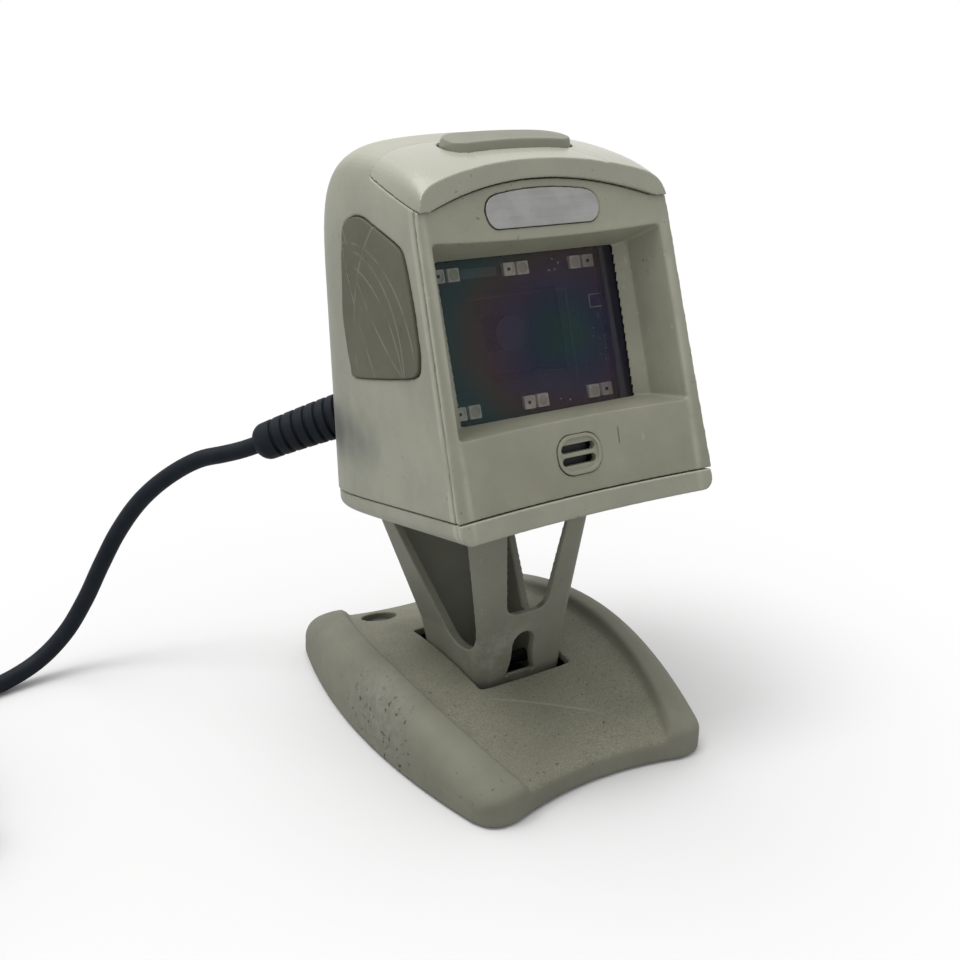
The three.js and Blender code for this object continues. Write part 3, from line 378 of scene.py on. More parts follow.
def from_node(node, matrix):
    """A copy of a CAD node's mesh, in the millimetres of the given frame."""
    mesh = nodes[node].data.copy()
    mesh.transform(matrix.inverted())
    shape = bmesh.new()
    shape.from_mesh(mesh)
    bmesh.ops.remove_doubles(shape, verts=shape.verts, dist=0.002)
    shape.to_mesh(mesh)
    shape.free()
    return link(node + "_copy", mesh)


def finish_piece(obj, name, matrix, body, slot, material, replaced=(), smooth=True):
    """Puts a piece into the frame, names it and gives it its body, slot and material."""
    obj.name = name
    obj.data.name = name
    obj.data.transform(matrix)
    obj.data.materials.clear()
    obj.data.materials.append(material)
    if smooth:
        obj.data.polygons.foreach_set("use_smooth", [True] * len(obj.data.polygons))
    obj.data.update()
    if replaced:
        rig.replaces(obj, *replaced)
    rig.slot(obj, slot)
    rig.ride(obj, body)
    return obj


def head_piece(obj, name, slot, material, replaced=(), smooth=True):
    return finish_piece(obj, name, HEAD_MATRIX, "tilt_head", slot, material, replaced, smooth)


def base_piece(obj, name, slot, material, replaced=()):
    return finish_piece(obj, name, BASE_MATRIX, "base", slot, material, replaced)


# ---- materials
class Shader:
    """A material under construction, in the object's own coordinates."""

    def __init__(self, name, roughness=0.5, metallic=0.0, specular=0.5):
        self.material = bpy.data.materials.new(name)
        self.material.use_nodes = True
        self.tree = self.material.node_tree
        self.shader = self.tree.nodes["Principled BSDF"]
        self.set(Roughness=roughness, Metallic=metallic, Specular_IOR_Level=specular)
        self.place = self.add("ShaderNodeTexCoord").outputs["Object"]

    def add(self, kind, settings=None, **inputs):
        node = self.tree.nodes.new(kind)
        for key, value in (settings or {}).items():
            setattr(node, key, value)
        for key, value in inputs.items():
            numbered = key[0] == "i" and key[1:].isdigit()
            self.feed(node.inputs[int(key[1:]) if numbered else key.replace("_", " ")], value)
        return node

    def feed(self, socket, value):
        """Links a node's output into a socket, or sets the socket to a plain value."""
        if isinstance(value, bpy.types.NodeSocket):
            self.tree.links.new(value, socket)
        else:
            socket.default_value = value

    def noise(self, scale, detail=3.0, rough=0.55, where=None):
        return self.add("ShaderNodeTexNoise", Vector=self.place if where is None else where,
                        Scale=scale, Detail=detail, Roughness=rough).outputs["Fac"]

    def math(self, kind, a, b=0.0):
        return self.add("ShaderNodeMath", {"operation": kind}, i0=a, i1=b).outputs[0]

    def times(self, a, b):
        return self.math("MULTIPLY", a, b)

    def inverse(self, value):
        return self.math("SUBTRACT", 1.0, value)

    def off(self, value, middle):
        """How far a value is from a middle one."""
        return self.math("ABSOLUTE", self.math("SUBTRACT", value, middle))

    def vector(self, kind, a, b=(0, 0, 0)):
        return self.add("ShaderNodeVectorMath", {"operation": kind}, i0=a, i1=b)

    def along(self, axis, of=None):
        """One of x, y and z, as 0, 1 or 2, of the place or of another vector."""
        return self.add("ShaderNodeSeparateXYZ", Vector=self.place if of is None else of).outputs[axis]

    def ramp(self, value, low, high):
        """0 below low, 1 above high, and a smooth step between them."""
        return self.add("ShaderNodeMapRange", {"interpolation_type": "SMOOTHSTEP"}, Value=value,
                        From_Min=low, From_Max=high).outputs["Result"]

    def mix(self, fac, a, b):
        node = self.add("ShaderNodeMix", {"data_type": "RGBA"})
        for key, value in ((0, fac), (6, a), (7, b)):
            self.feed(node.inputs[key], value)
        return node.outputs[2]

    def near(self, centre, radius, soft=0.5):
        """1 within radius of a point, fading out over soft of the radius."""
        gap = self.vector("DISTANCE", self.place, centre).outputs["Value"]
        return self.inverse(self.ramp(gap, radius * (1 - soft), radius))

    def arc(self, centre, radius, width):
        """1 on a thin sphere's skin, which draws a curved scratch where it meets a wall."""
        gap = self.vector("DISTANCE", self.place, centre).outputs["Value"]
        return self.inverse(self.ramp(self.off(gap, radius), width * 0.4, width))

    def bump(self, height, strength, distance=0.0002, under=None):
        node = self.add("ShaderNodeBump", Height=height, Strength=strength, Distance=distance)
        if under is not None:
            self.tree.links.new(under, node.inputs["Normal"])
        return node.outputs["Normal"]

    def set(self, **inputs):
        for key, value in inputs.items():
            self.feed(self.shader.inputs[key.replace("_", " ")], value)
        return self


def rgba(r, g, b):
    return (r, g, b, 1.0)


def tinted(colour, factor):
    return rgba(*(part * factor for part in colour))


def moulded(name, colour, roughness=0.5, grain=2600, relief=0.12, mottle=0.10, crease_shade=0.5, worn=0.35, shine=0.4,
             marks=()):
    """Used moulded plastic: mottled colour, fine grain, painted shade in the hollows, paler worn edges."""
    s = Shader(name, roughness)
    cloud = s.noise(38, 5, 0.6)
    fine = s.noise(grain, 2, 0.5)
    tone = s.mix(s.ramp(cloud, 0.3, 0.7), tinted(colour, 1 - mottle), tinted(colour, 1 + mottle))
    tone = s.mix(s.times(s.ramp(s.noise(420, 4, 0.7), 0.5, 0.8), 0.18), tone, tinted(colour, 0.72))
    shape = s.add("ShaderNodeNewGeometry").outputs["Pointiness"]
    edge = s.times(s.ramp(shape, 0.53, 0.60), worn)
    tone = s.mix(edge, tone, tinted(colour, 1.35))
    # Painted shade: hollows, creases and seams are darkened by their pointiness.
    hollow = s.times(s.inverse(s.ramp(shape, 0.38, 0.475)), crease_shade)
    tone = s.mix(hollow, tone, tinted(colour, 0.3))
    specks = s.times(s.ramp(s.noise(900, 1, 0.3), 0.735, 0.775), s.ramp(s.noise(60, 2), 0.45, 0.6))
    tone = s.mix(s.times(specks, 0.6), tone, tinted(colour, 0.3))
    for mask, shade, strength in [mark(s) for mark in marks]:
        tone = s.mix(s.times(mask, strength), tone, shade)
    rough = s.math("ADD", s.times(s.noise(120, 4, 0.6), 0.22), roughness - 0.11)
    normal = s.bump(fine, relief, 0.00012)
    normal = s.bump(s.noise(300, 3), relief * 0.5, 0.0002, normal)
    s.set(Base_Color=tone, Roughness=rough, Normal=normal, Specular_IOR_Level=shine)
    return s.material


# ---- colours, linear
SHELL = (0.190, 0.192, 0.148)
SHELL_FRONT = (0.192, 0.192, 0.146)
BUTTON = (0.155, 0.157, 0.118)
GRIP = (0.074, 0.073, 0.049)
BASE_RAIL = (0.130, 0.130, 0.101)
BASE_TOP = (0.158, 0.157, 0.119)
CABLE = (0.006, 0.009, 0.013)
SCRATCH = rgba(0.20, 0.20, 0.16)
GRIP_SIDE = -39.5
GRIP_ARCS = ((52, 38, 31.5), (58, 30, 37), (10, 40, 38.9), (-30, 100, 82.8), (50, 35, 36), (-60, 90, 112))


def head_point(x, y, z):
    """A place given in the head's own millimetres, in the object's metres."""
    return tuple(HEAD_MATRIX @ Vector((x, y, z)))


def metres(x, y, z):
    return (x * MM, y * MM, z * MM)


def corner_wear(s):
    """Pale rubbed lines along the front corners, either side of the seam."""
    inward = (HEAD_MATRIX.to_3x3() @ Vector((0, 1, -FRONT_LEAN))).normalized()
    depth = s.vector("DOT_PRODUCT", s.place, tuple(inward)).outputs["Value"]
    depth = s.math("SUBTRACT", depth, inward.dot(Vector(head_point(0, 0, 0))))
    front = s.inverse(s.ramp(s.off(depth, 0.0009), 0.0003, 0.0007))
    rear = s.inverse(s.ramp(s.off(depth, 0.0034), 0.0004, 0.0012))
    lines = s.times(s.math("MAXIMUM", front, rear), s.ramp(s.off(s.along(0), 0.0), 0.0345, 0.0362))
    return s.times(lines, s.ramp(s.noise(90, 4, 0.6), 0.25, 0.6)), rgba(0.30, 0.30, 0.25), 0.5


def painted_upward_light(s):
    """Painted light: upward-facing plastic is made paler, where light from above falls on it."""
    up = s.along(2, s.add("ShaderNodeNewGeometry").outputs["Normal"])
    return s.ramp(up, 0.35, 0.95), rgba(0.290, 0.288, 0.238), 0.9


def darker_low_front(s):
    """The front is darker towards its lower edge."""
    low = s.inverse(s.ramp(s.along(2), 0.086, 0.116))
    return s.times(low, s.ramp(s.noise(50, 4, 0.6), 0.2, 0.75)), rgba(0.115, 0.115, 0.082), 0.6


def neck_dust(s):
    """Pale dust on the neck's front near its foot."""
    area = s.near(metres(-12, -24, 24), 0.026, 0.9)
    return s.times(area, s.ramp(s.noise(130, 5, 0.7), 0.42, 0.7)), rgba(0.27, 0.27, 0.24), 0.45


def chin_mark(s):
    """One short dark line beside the speaker."""
    area = s.near(head_point(12.9, 4.6, 13.3), 0.0030)
    line = s.arc(head_point(-60, 4.6, 15), 0.0729, 0.00026)
    return s.times(area, line), rgba(0.05, 0.05, 0.04), 0.9


def cable_grime(s):
    """A dark smear on the side, ahead of where the cable leaves."""
    area = s.near(head_point(-37.5, 69, 18), 0.013, 0.95)
    for y, z, radius, strength in ((62, 17.6, 0.012, 0.8), (54, 17.2, 0.011, 0.62), (47, 16.9, 0.010, 0.4)):
        spot = s.near(head_point(-40, y, z), radius, 0.95)
        area = s.math("MAXIMUM", area, s.times(spot, strength))
    return s.times(area, s.ramp(s.noise(80, 3, 0.5), 0.1, 0.6)), rgba(0.04, 0.048, 0.055), 0.75


def grip_scratches(s):
    """Long pale arcs across the left grip, broken here and there."""
    total = 0.0
    for y, z, radius in GRIP_ARCS:
        total = s.math("MAXIMUM", total, s.arc(head_point(GRIP_SIDE, y, z), radius * MM, 0.0004))
    return s.times(total, s.ramp(s.noise(90, 2), 0.42, 0.62)), SCRATCH, 0.4


def rail_mark(centre, radius, soft, scale, turn, low, high, colour, strength):
    """A patch of streaks on the left rail, from noise stretched by scale and turned."""
    def mark(s):
        stretched = s.add("ShaderNodeMapping", Vector=s.place, Scale=scale, Rotation=turn).outputs[0]
        streaks = s.ramp(s.noise(1.0, 4.0, 0.7, stretched), low, high)
        return s.times(s.near(metres(*centre), radius, soft), streaks), rgba(*colour), strength
    return mark


rail_scuff = rail_mark((-46, -10, 9), 0.024, 0.9, (160, 420, 300), (0.2, 0.5, 0.1), 0.42, 0.62,
                       (0.19, 0.19, 0.175), 0.45)
rail_nicks = rail_mark((-49, -14, 5), 0.026, 0.6, (240, 400, 300), (0.5, 0.2, 0.6), 0.605, 0.64,
                       (0.015, 0.017, 0.018), 0.92)
rail_cuts = rail_mark((-48, -4, 8), 0.024, 0.7, (1000, 90, 300), (0.9, 0.1, 0.3), 0.635, 0.665,
                      (0.02, 0.022, 0.024), 0.8)


def plate_grain(s):
    return s.ramp(s.noise(2300, 3, 0.6), 0.40, 0.62), rgba(0.085, 0.084, 0.062), 0.5


def plate_dust(s):
    dust = s.times(s.ramp(s.noise(1300, 2, 0.6), 0.56, 0.70), s.ramp(s.noise(60, 3), 0.35, 0.7))
    return dust, rgba(0.27, 0.265, 0.215), 0.3


def plate_pits(s):
    return s.ramp(s.noise(950, 2, 0.5), 0.67, 0.72), rgba(0.03, 0.03, 0.024), 0.6


def plate_scratch(s):
    """One long pale rub across the front of the plate."""
    area = s.near(metres(-2, -34, 16), 0.019, 0.4)
    line = s.arc(metres(-116, -210, 16), 0.2105, 0.0006)
    return s.times(area, line), rgba(0.26, 0.25, 0.20), 0.35


shell_plastic = moulded("shell_plastic", SHELL, 0.50, marks=(painted_upward_light, corner_wear, cable_grime))
front_plastic = moulded("front_plastic", SHELL_FRONT, 0.52, worn=0.55,
                       marks=(darker_low_front, corner_wear, chin_mark))
roof_plastic = moulded("roof_plastic", SHELL, 0.27, relief=0.08, mottle=0.06, worn=0.3, shine=0.5,
                       marks=(painted_upward_light,))
button_plastic = moulded("button_plastic", BUTTON, 0.5, relief=0.2)
grip_plastic = moulded("grip_plastic", GRIP, 0.66, relief=0.25, worn=0.8, shine=0.25, marks=(grip_scratches,))
rail_plastic = moulded("rail_plastic", BASE_RAIL, 0.74, shine=0.25, marks=(rail_scuff, rail_nicks, rail_cuts))
plate_plastic = moulded("plate_plastic", BASE_TOP, 0.72, grain=1500, relief=0.5, mottle=0.12, shine=0.2,
                        marks=(plate_grain, plate_dust, plate_pits, plate_scratch))


def plain_material(name, colour, roughness, metallic=0.0, grain=900, relief=0.15, variation=0.15,
                   shine=0.35):
    """An even finish with slight variation in its colour and gloss."""
    s = Shader(name, roughness, metallic)
    cloud = s.ramp(s.noise(160, 4), 0.3, 0.7)
    tone = s.mix(cloud, tinted(colour, 1 - variation), tinted(colour, 1 + variation))
    rough = s.math("ADD", s.times(s.noise(260, 3), 0.2), roughness - 0.1)
    s.set(Base_Color=tone, Roughness=rough, Normal=s.bump(s.noise(grain, 2), relief, 0.0001),
          Specular_IOR_Level=shine)
    return s.material


black_plastic = plain_material("black_plastic", (0.014, 0.015, 0.017), 0.5)
cable_rubber = plain_material("cable_rubber", CABLE, 0.6, grain=1400, shine=0.12)
foot_rubber = plain_material("foot_rubber", (0.02, 0.02, 0.021), 0.8, grain=700, relief=0.3)
plated_steel = plain_material("plated_steel", (0.42, 0.42, 0.43), 0.32, 1.0)
dark_steel = plain_material("dark_steel", (0.05, 0.05, 0.052), 0.45, 0.8)
zinc = plain_material("zinc", (0.22, 0.22, 0.225), 0.55, 0.9, 500, 0.4)
painted_steel = plain_material("painted_steel", (0.03, 0.03, 0.031), 0.5, 0.1)
brass = plain_material("brass", (0.55, 0.40, 0.16), 0.35, 1.0)
circuit_board = plain_material("circuit_board", (0.008, 0.016, 0.015), 0.55, 0.0, 300, 0.05, 0.3, 0.15)
led_plastic = plain_material("led_plastic", (0.92, 0.90, 0.78), 0.4)
led_lens = plain_material("led_lens", (0.70, 0.66, 0.50), 0.2)
solder = plain_material("solder", (0.55, 0.55, 0.55), 0.3, 1.0)


def brushed(name, colour, roughness):
    """Sheet metal with fine lines along x and paler worn blotches."""
    s = Shader(name, roughness, 0.75)
    along = s.add("ShaderNodeMapping", Vector=s.place, Scale=(30, 1200, 1200)).outputs[0]
    lines = s.noise(1.0, 3.0, 0.5, along)
    blotch = s.ramp(s.noise(130, 5, 0.7), 0.42, 0.66)
    tone = s.mix(lines, tinted(colour, 0.85), tinted(colour, 1.12))
    tone = s.mix(s.times(blotch, 0.4), tone, tinted(colour, 1.45))
    s.set(Base_Color=tone, Roughness=s.math("ADD", s.times(blotch, 0.25), roughness - 0.1),
          Normal=s.bump(lines, 0.15, 0.00008))
    return s.material


badge_metal = brushed("badge_metal", (0.25, 0.25, 0.243), 0.42)


# ---- head form, as in the CAD with finer steps
def roof_height(x, y):
    """The roof climbs and levels off towards the back, and is crowned most at the front."""
    back = max(0.0, y)
    crown = 2.9 + 4.8 * math.exp(-back / 8.3)
    return 79.6 + 0.62 * back - 0.0051 * back * back - crown * (x / FRONT_HALF_WIDTH) ** 2


def head_block(inset, floor):
    """The head's outer form, shrunk by inset and closed at floor, with room in front to be cut."""
    half_width, flat_side, front = HEAD_HALF_WIDTH - inset, 38.5, -26
    reach = HEAD_LENGTH - inset - flat_side
    outline = [(x, front) for x in (0, 10, 20, 30, 36)]
    outline += [(half_width, y) for y in (front, -10, -3, 0, 2.5, 5, 8, 11, 15, 20, 25, 30, 34)]
    steps = 36
    for i in range(steps + 1):
        angle = i / steps * math.pi / 2
        x = half_width * math.cos(angle) ** 0.4 if i < steps else 0
        outline.append((x, flat_side + reach * math.sin(angle) ** 0.4))
    loop = outline + [(-x, y) for x, y in reversed(outline[1:-1])]
    centre = 40
    angles = [math.radians(5 * i) for i in range(13)]
    crowns = [1 - i / 18 for i in range(1, 19)]
    wall_shadow = [0, 15, 30, 45, 60, 75, 90] if floor < 0 else [0, 90]
    rows = 1 + len(wall_shadow) + 3 + len(angles) + len(crowns)

    def point(column, row):
        ox, oy = loop[column]
        power = 8.4 + 18 * math.exp(-max(0.0, oy) / 12)
        on_floor = row <= len(wall_shadow)
        if row == 0:
            spread, z = 0, floor
        elif on_floor:
            turn = math.radians(wall_shadow[row - 1])
            rise = 3.2 if floor < 0 else 0.0
            spread, z = 1 - rise / 40 * (1 - math.sin(turn)), floor + rise * (1 - math.cos(turn))
        elif row < len(wall_shadow) + 4:
            start = floor + (3.2 if floor < 0 else 0)
            spread, z = 1, start + (30 - start) * (row - len(wall_shadow)) / 4
        else:
            step = row - len(wall_shadow) - 4
            if step < len(angles):
                spread, lift = math.cos(angles[step]) ** (2 / power), math.sin(angles[step]) ** (2 / power)
            else:
                spread = crowns[step - len(angles)] * math.cos(angles[-1]) ** (2 / power)
                lift = (1 - spread ** power) ** (1 / power)
            z = None
        x, y = ox * spread, centre + (oy - centre) * spread
        if z is None:
            z = 30 + (roof_height(x, y) - inset - 30) * lift
        pinch = 2.1 * max(0.0, z) / 74 * math.exp(-max(0.0, y) / 9) * math.copysign(1, x)
        side_scale = 1 - 0.018 * z / 40
        rear_scale = 1 - 0.18 * z / 53
        if y > flat_side:
            y = flat_side + (y - flat_side) * rear_scale
        return ((x - pinch * (abs(x) / half_width) ** 3) * side_scale, y, z)
    return grid(point, len(loop), rows)


def behind_front(depth):
    """Everything behind the hollow front face, moved back by depth."""
    steps, edge = 40, 60
    points = [(edge, 140), (-edge, 140)]
    for i in range(steps + 1):
        x = -edge + 2 * edge * i / steps
        points.append((x, depth + FRONT_HOLLOW * (1 - (x / FRONT_HALF_WIDTH) ** 2)))
    return prism(points, -30, 130, lambda x, y, z: (x, y + FRONT_LEAN * z, z))


def hood_seam(x, lift):
    return HOOD_SEAM_TOP - HOOD_SEAM_DROP * (x / HOOD_CORNER) ** 2 + lift


def above_hood_seam(lift, back):
    """The room above the hood's arched front seam and its climbing side seams."""
    steps, edge = 40, 46
    places = [-edge + 2 * edge * i / steps for i in range(steps + 1)]
    points = [(edge, 130), (-edge, 130)] + [(x, hood_seam(x, lift)) for x in places]
    corner = hood_seam(HOOD_CORNER, lift)
    climb = [(-20, 40), (back + 20, 40), (back + 20, corner + 0.45 * (back + 15)), (-20, corner - 0.45 * 25)]
    return cut(front_prism(points, -20, back), side_prism(climb, -60, -33), side_prism(climb, 33, 60))


def recess_block(grow, depth0, depth1):
    """The flared recess in front of the window: each side is a steep wall with a ledge at its foot."""
    def section(depth):
        t = depth / WINDOW_DEPTH
        low = 19.3 + 1.9 * t - grow
        high = 67.4 - 4.6 * t + grow
        wall, ledge = min(1.0, depth / LEDGE_DEPTH), max(0.0, depth - LEDGE_DEPTH) / 2.4
        half_low = 36.2 - 4.4 * wall - 4.4 * ledge + grow
        half_high = 34.9 - 3.8 * wall - 3.7 * ledge + grow
        ring = []
        radius = max(0.6, 1.7 - 1.1 * t)
        for (x, z) in rounded_rect(1, 1, 0.0001 + radius / 36, steps=6):
            half = half_low + (half_high - half_low) * (z + 1) / 2
            zz = low + (high - low) * (z + 1) / 2
            bow = 1.1 * (1 - t) * max(0.0, z) ** 4 * (1 - x * x)
            ring.append((x * half, depth + FRONT_LEAN * zz, zz - bow))
        return ring
    depths = sorted({depth0, 0, 3, 6, 9, LEDGE_DEPTH, 12.8, depth1})
    return loft([section(d) for d in depths])


def badge_shape(grow):
    w, h, z = 17.2 + grow, 4.7 + grow, BADGE_Z
    return bend([(-w + 3, z - h), (w - 3, z - h), (w - 0.4, z - h + 0.6, w, z - 0.6),
                 (w, z + h - 1.8, w - 4, z + h - 0.9), (0, z + h + 1.2, -w + 4, z + h - 0.9),
                 (-w, z + h - 1.8, -w, z - 0.6), (-w + 0.4, z - h + 0.6, -w + 3, z - h)])[:-1]


def grip_outline(grow):
    corners = [(17, 35.4), (50.6, 34.8), (53.6, 37.8), (55, 52), (50, 73.2), (47, 76.2), (41, 76.9),
               (35, 75.4), (18.4, 67.4), (15.2, 62.8), (12.8, 48), (12.6, 39.6)]
    points = [Vector((y + math.copysign(grow, y - 34), z + math.copysign(grow, z - 55))) for y, z in corners]
    path, count, tension = [], len(points), 0.35
    for i in range(count):
        p0, p1, p2, p3 = (points[(i + k) % count] for k in (-1, 0, 1, 2))
        t1, t2 = (p2 - p0) * tension, (p3 - p1) * tension
        path += [tuple(hermite(k / 6, p1, t1, p2, t2)) for k in range(6)]
    return path


def grip_block(side, grow, lift, depth):
    x0 = -60 if side < 0 else 20
    sheet = cut(head_block(lift, 0), head_block(depth, -2))
    return keep(side_prism(grip_outline(grow), x0, x0 + 40), sheet)


def face_sheet(depth0, depth1):
    """Everything between two depths behind the flat front plane."""
    return leaning_prism([(-60, -10), (60, -10), (60, 110), (-60, 110)], depth0, depth1)


def side_core(inset):
    """The room inside the side walls, right through the front."""
    low, high = 37.9 - inset, 35.2 - inset
    return front_prism([(-low, -30), (low, -30), (high, 110), (-high, 110)], -60, 60)


def speaker_block(grow):
    return leaning_prism(rounded_rect(6.8 + grow, 5.2 + grow, 4.6, 0, SPEAKER_Z), -2, 9)


def boot_axis():
    return Vector((-28.5, 80.6, 22.4)), Vector((-0.74, 0.64, -0.2)).normalized()


def boot_bore(radius, start, end):
    root, way = boot_axis()
    turn = Vector((0, 0, 1)).rotation_difference(way).to_matrix()

    def place(a, b, t):
        return tuple(root + way * t + turn @ Vector((a, b, 0)) * radius)
    return prism(circle(40), start, end, place)


# ---- head pieces
def front_bezel():
    face = cut(keep(head_block(0.02, -BAND_HEIGHT), behind_front(0), box(-60, 60, -40, 60, SEAM / 2, 95)),
               behind_front(WALL))
    cut(face, cut(face_sheet(CORNER_SEAM, 12), side_core(0.15)))
    funnel = keep(recess_block(1.8, 0.5, WINDOW_DEPTH), behind_front(0.6))
    pocket = cut(leaning_prism(badge_shape(0.16), -2, 9), behind_front(1.2))
    made = cut(join(face, funnel), recess_block(0, -6, WINDOW_DEPTH + 1), above_hood_seam(-0.2, HOOD_BACK),
               speaker_block(0.15), pocket)
    soften(made, 0.25, 5, 0.4)
    head_piece(made, "bezel_moulding", "body_plastic", front_plastic, ["front_bezel"])


def rear_housing():
    upper = box(-60, 60, -40, 120, SEAM / 2, 130)
    shell = keep(head_block(0, -BAND_HEIGHT), behind_front(0.5), upper)
    cut(shell, head_block(WALL, -BAND_HEIGHT + WALL))
    cut(shell, face_sheet(-30, CORNER_SEAM + 0.34), keep(side_core(0), behind_front(-30), face_sheet(-30, 8)))
    cut(shell, above_hood_seam(-0.3, HOOD_BACK), boot_bore(7.4, -10, 14))
    for side in (-1, 1):
        cut(shell, grip_block(side, GAP, -0.6, 1.2))
    soften(shell, 0.38, 2, 0.45)
    head_piece(shell, "rear_shell", "body_plastic", shell_plastic, ["rear_housing"])


def button_outline(grow):
    return rounded_rect(19 + grow, 6 + grow, 5.2, 0, BUTTON_Y)


def hood():
    made = keep(head_block(0, -BAND_HEIGHT), behind_front(-1.1), above_hood_seam(0, HOOD_BACK + 0.2))
    hollow = keep(head_block(WALL, 20), behind_front(WALL))
    cut(made, hollow, up_prism(button_outline(GAP), 78, 110))
    soften(made, 0.3, 2, 0.5)
    head_piece(made, "hood_moulding", "roof_plastic", roof_plastic, ["top_cover"])


def button():
    """A crowned cap, hollow below, with a post in its middle."""
    outline = button_outline(0)
    levels = ((84.5, 1.0), (91.6, 1.0), (93.6, 0.965), (95.2, 0.90), (96.4, 0.80))
    rings = [[(x * k, BUTTON_Y + (y - BUTTON_Y) * (1 - (1 - k) * 1.9), z) for x, y in outline]
             for z, k in levels]
    made = keep(loft(rings), head_block(-2.2, 20))
    cut(made, up_prism(rounded_rect(17.2, 4.2, 3.4, 0, BUTTON_Y), 80, 89.5))
    join(made, rod(82.9, 90.5, 2, (0, BUTTON_Y)))
    soften(made, 0.25, 3, 0.5)
    finish_piece(made, "button_cap", HEAD_MATRIX, "button", "button_plastic", button_plastic, ["top_button"])


def bottom_band():
    made = keep(head_block(0.3, -BAND_HEIGHT), behind_front(-0.1), box(-60, 60, -40, 120, -7, -0.16))
    hollow = keep(head_block(WALL, -BAND_HEIGHT - 5), behind_front(WALL), box(-60, 60, -40, 120, -3.3, 20))
    cut(made, hollow, *(rod(-20, 10, radius, (x, 60)) for x, radius in ((0, 5), (-11, 2), (11, 2))))
    soften(made, 0.35, 3, 0.5)
    head_piece(made, "lower_band", "body_plastic", shell_plastic, ["bottom_cover"])


def grip(side):
    name = "left" if side < 0 else "right"
    made = grip_block(side, 0, -0.6, 0.95)
    soften(made, 0.25, 3, 0.6)
    head_piece(made, f"grip_pad_{name}", "grip_plastic", grip_plastic, [f"side_grip_{name}"])


def badge():
    sheet = cut(behind_front(-0.35), behind_front(0.9))
    made = keep(leaning_prism(badge_shape(0), -3, 9), sheet)
    soften(made, 0.16, 3, 0.6)
    head_piece(made, "badge_sheet", "badge_metal", badge_metal, ["badge_plate"])


def speaker():
    """An oval insert, dished in front, with two slots through it."""
    made = cut(keep(speaker_block(0), behind_front(-0.3)), behind_front(WALL))
    face = cut(behind_front(-3), behind_front(0.35))
    cut(made, keep(leaning_prism(rounded_rect(5.9, 4.3, 3.8, 0, SPEAKER_Z), -3, 9), face))
    for z in (SPEAKER_Z - SLOT_RISE, SPEAKER_Z + SLOT_RISE):
        cut(made, leaning_prism(rounded_rect(5.3, 1.1, 1.09, 0, z), -3, 10))
    soften(made, 0.14, 2, 0.6)
    head_piece(made, "speaker_insert", "body_plastic", front_plastic, ["speaker_grille"])


front_bezel()
rear_housing()
hood()
button()
bottom_band()
grip(-1)
grip(1)
badge()
speaker()


# ---- window and what shows through it
LED_HALF = 1.75
LED_ROWS = (23.45, 59.3)
LED_COLUMNS = (-23.75, -19.35, -2.15, 2.15, 19.35, 23.75)
DOMED_LEDS = (1, 3, 4, 7, 9, 10)
SOLDER_AT = ((24.6, 37.6), (26.3, 38.0), (25.0, 34.8), (26.2, 34.6), (27.2, 35.1), (24.3, 33.2),
             (25.6, 31.6), (27.0, 32.6), (11.2, 57.8), (12.9, 57.9), (14.4, 59.6), (12.6, 60.8),
             (8.6, 22.8), (11.6, 22.2), (23.0, 40.6), (22.4, 38.4))
GLASS_TINT = 0.33
FRINGE_REACH = 0.042
FRINGES = ((0.0, (0.006, 0.034, 0.026)), (0.14, (0.005, 0.034, 0.037)), (0.27, (0.008, 0.024, 0.050)),
           (0.40, (0.026, 0.020, 0.056)), (0.53, (0.040, 0.022, 0.048)), (0.64, (0.052, 0.026, 0.032)),
           (0.74, (0.044, 0.038, 0.030)), (0.86, (0.016, 0.046, 0.048)), (1.0, (0.018, 0.042, 0.045)))


def coated_glass():
    """Thin coated pane: oval colour fringes over a see-through dark tint, with a painted shadow along its right edge.
    """
    s = Shader("coated_glass", 0.08)
    gap = s.vector("SUBTRACT", s.place, head_point(9, 20, 41)).outputs[0]
    oval = s.vector("MULTIPLY", gap, (1, 1, 1.35)).outputs[0]
    waver = s.times(s.math("SUBTRACT", s.noise(45, 2), 0.5), 0.010)
    reach = s.math("ADD", s.vector("LENGTH", oval).outputs["Value"], waver)
    fringe = s.add("ShaderNodeValToRGB", Fac=s.times(reach, 1 / FRINGE_REACH))
    ramp = fringe.color_ramp
    while len(ramp.elements) < len(FRINGES):
        ramp.elements.new(0.5)
    for element, (place, colour) in zip(ramp.elements, FRINGES):
        element.position = place
        element.color = rgba(*colour)
    smear = s.ramp(s.noise(120, 4, 0.7), 0.35, 0.75)
    tone = s.mix(s.times(smear, 0.15), fringe.outputs[0], rgba(0.06, 0.065, 0.07))
    cells = s.add("ShaderNodeTexVoronoi", Vector=s.place, Scale=330.0, Randomness=0.35).outputs["Distance"]
    dots = s.inverse(s.ramp(cells, 0.12, 0.34))
    patch = s.times(s.near(head_point(-3, 20, 42), 0.022), s.ramp(s.noise(150, 2), 0.4, 0.6))
    tone = s.mix(s.times(s.times(dots, patch), 0.55), tone, rgba(0.012, 0.018, 0.03))
    # Painted shadow: the right-hand strip of the pane is made near black and less see-through, standing in for the
    # right wall's deep shadow.
    wall_shadow = s.ramp(s.along(0), 0.0234, 0.0241)
    tone = s.mix(s.times(wall_shadow, 0.93), tone, rgba(0.004, 0.005, 0.01))
    rough = s.math("ADD", s.times(smear, 0.10), 0.05)
    cover = s.math("ADD", s.times(wall_shadow, 0.62), GLASS_TINT)
    s.set(Base_Color=tone, Roughness=rough, Alpha=cover, Normal=s.bump(s.noise(60, 2), 0.04, 0.0002),
          Specular_IOR_Level=0.3)
    return s.material


def inner_part(obj, name, slot, material, replaced=()):
    """A sharp-edged part behind the window."""
    head_piece(obj, name, slot, material, replaced, smooth=False)


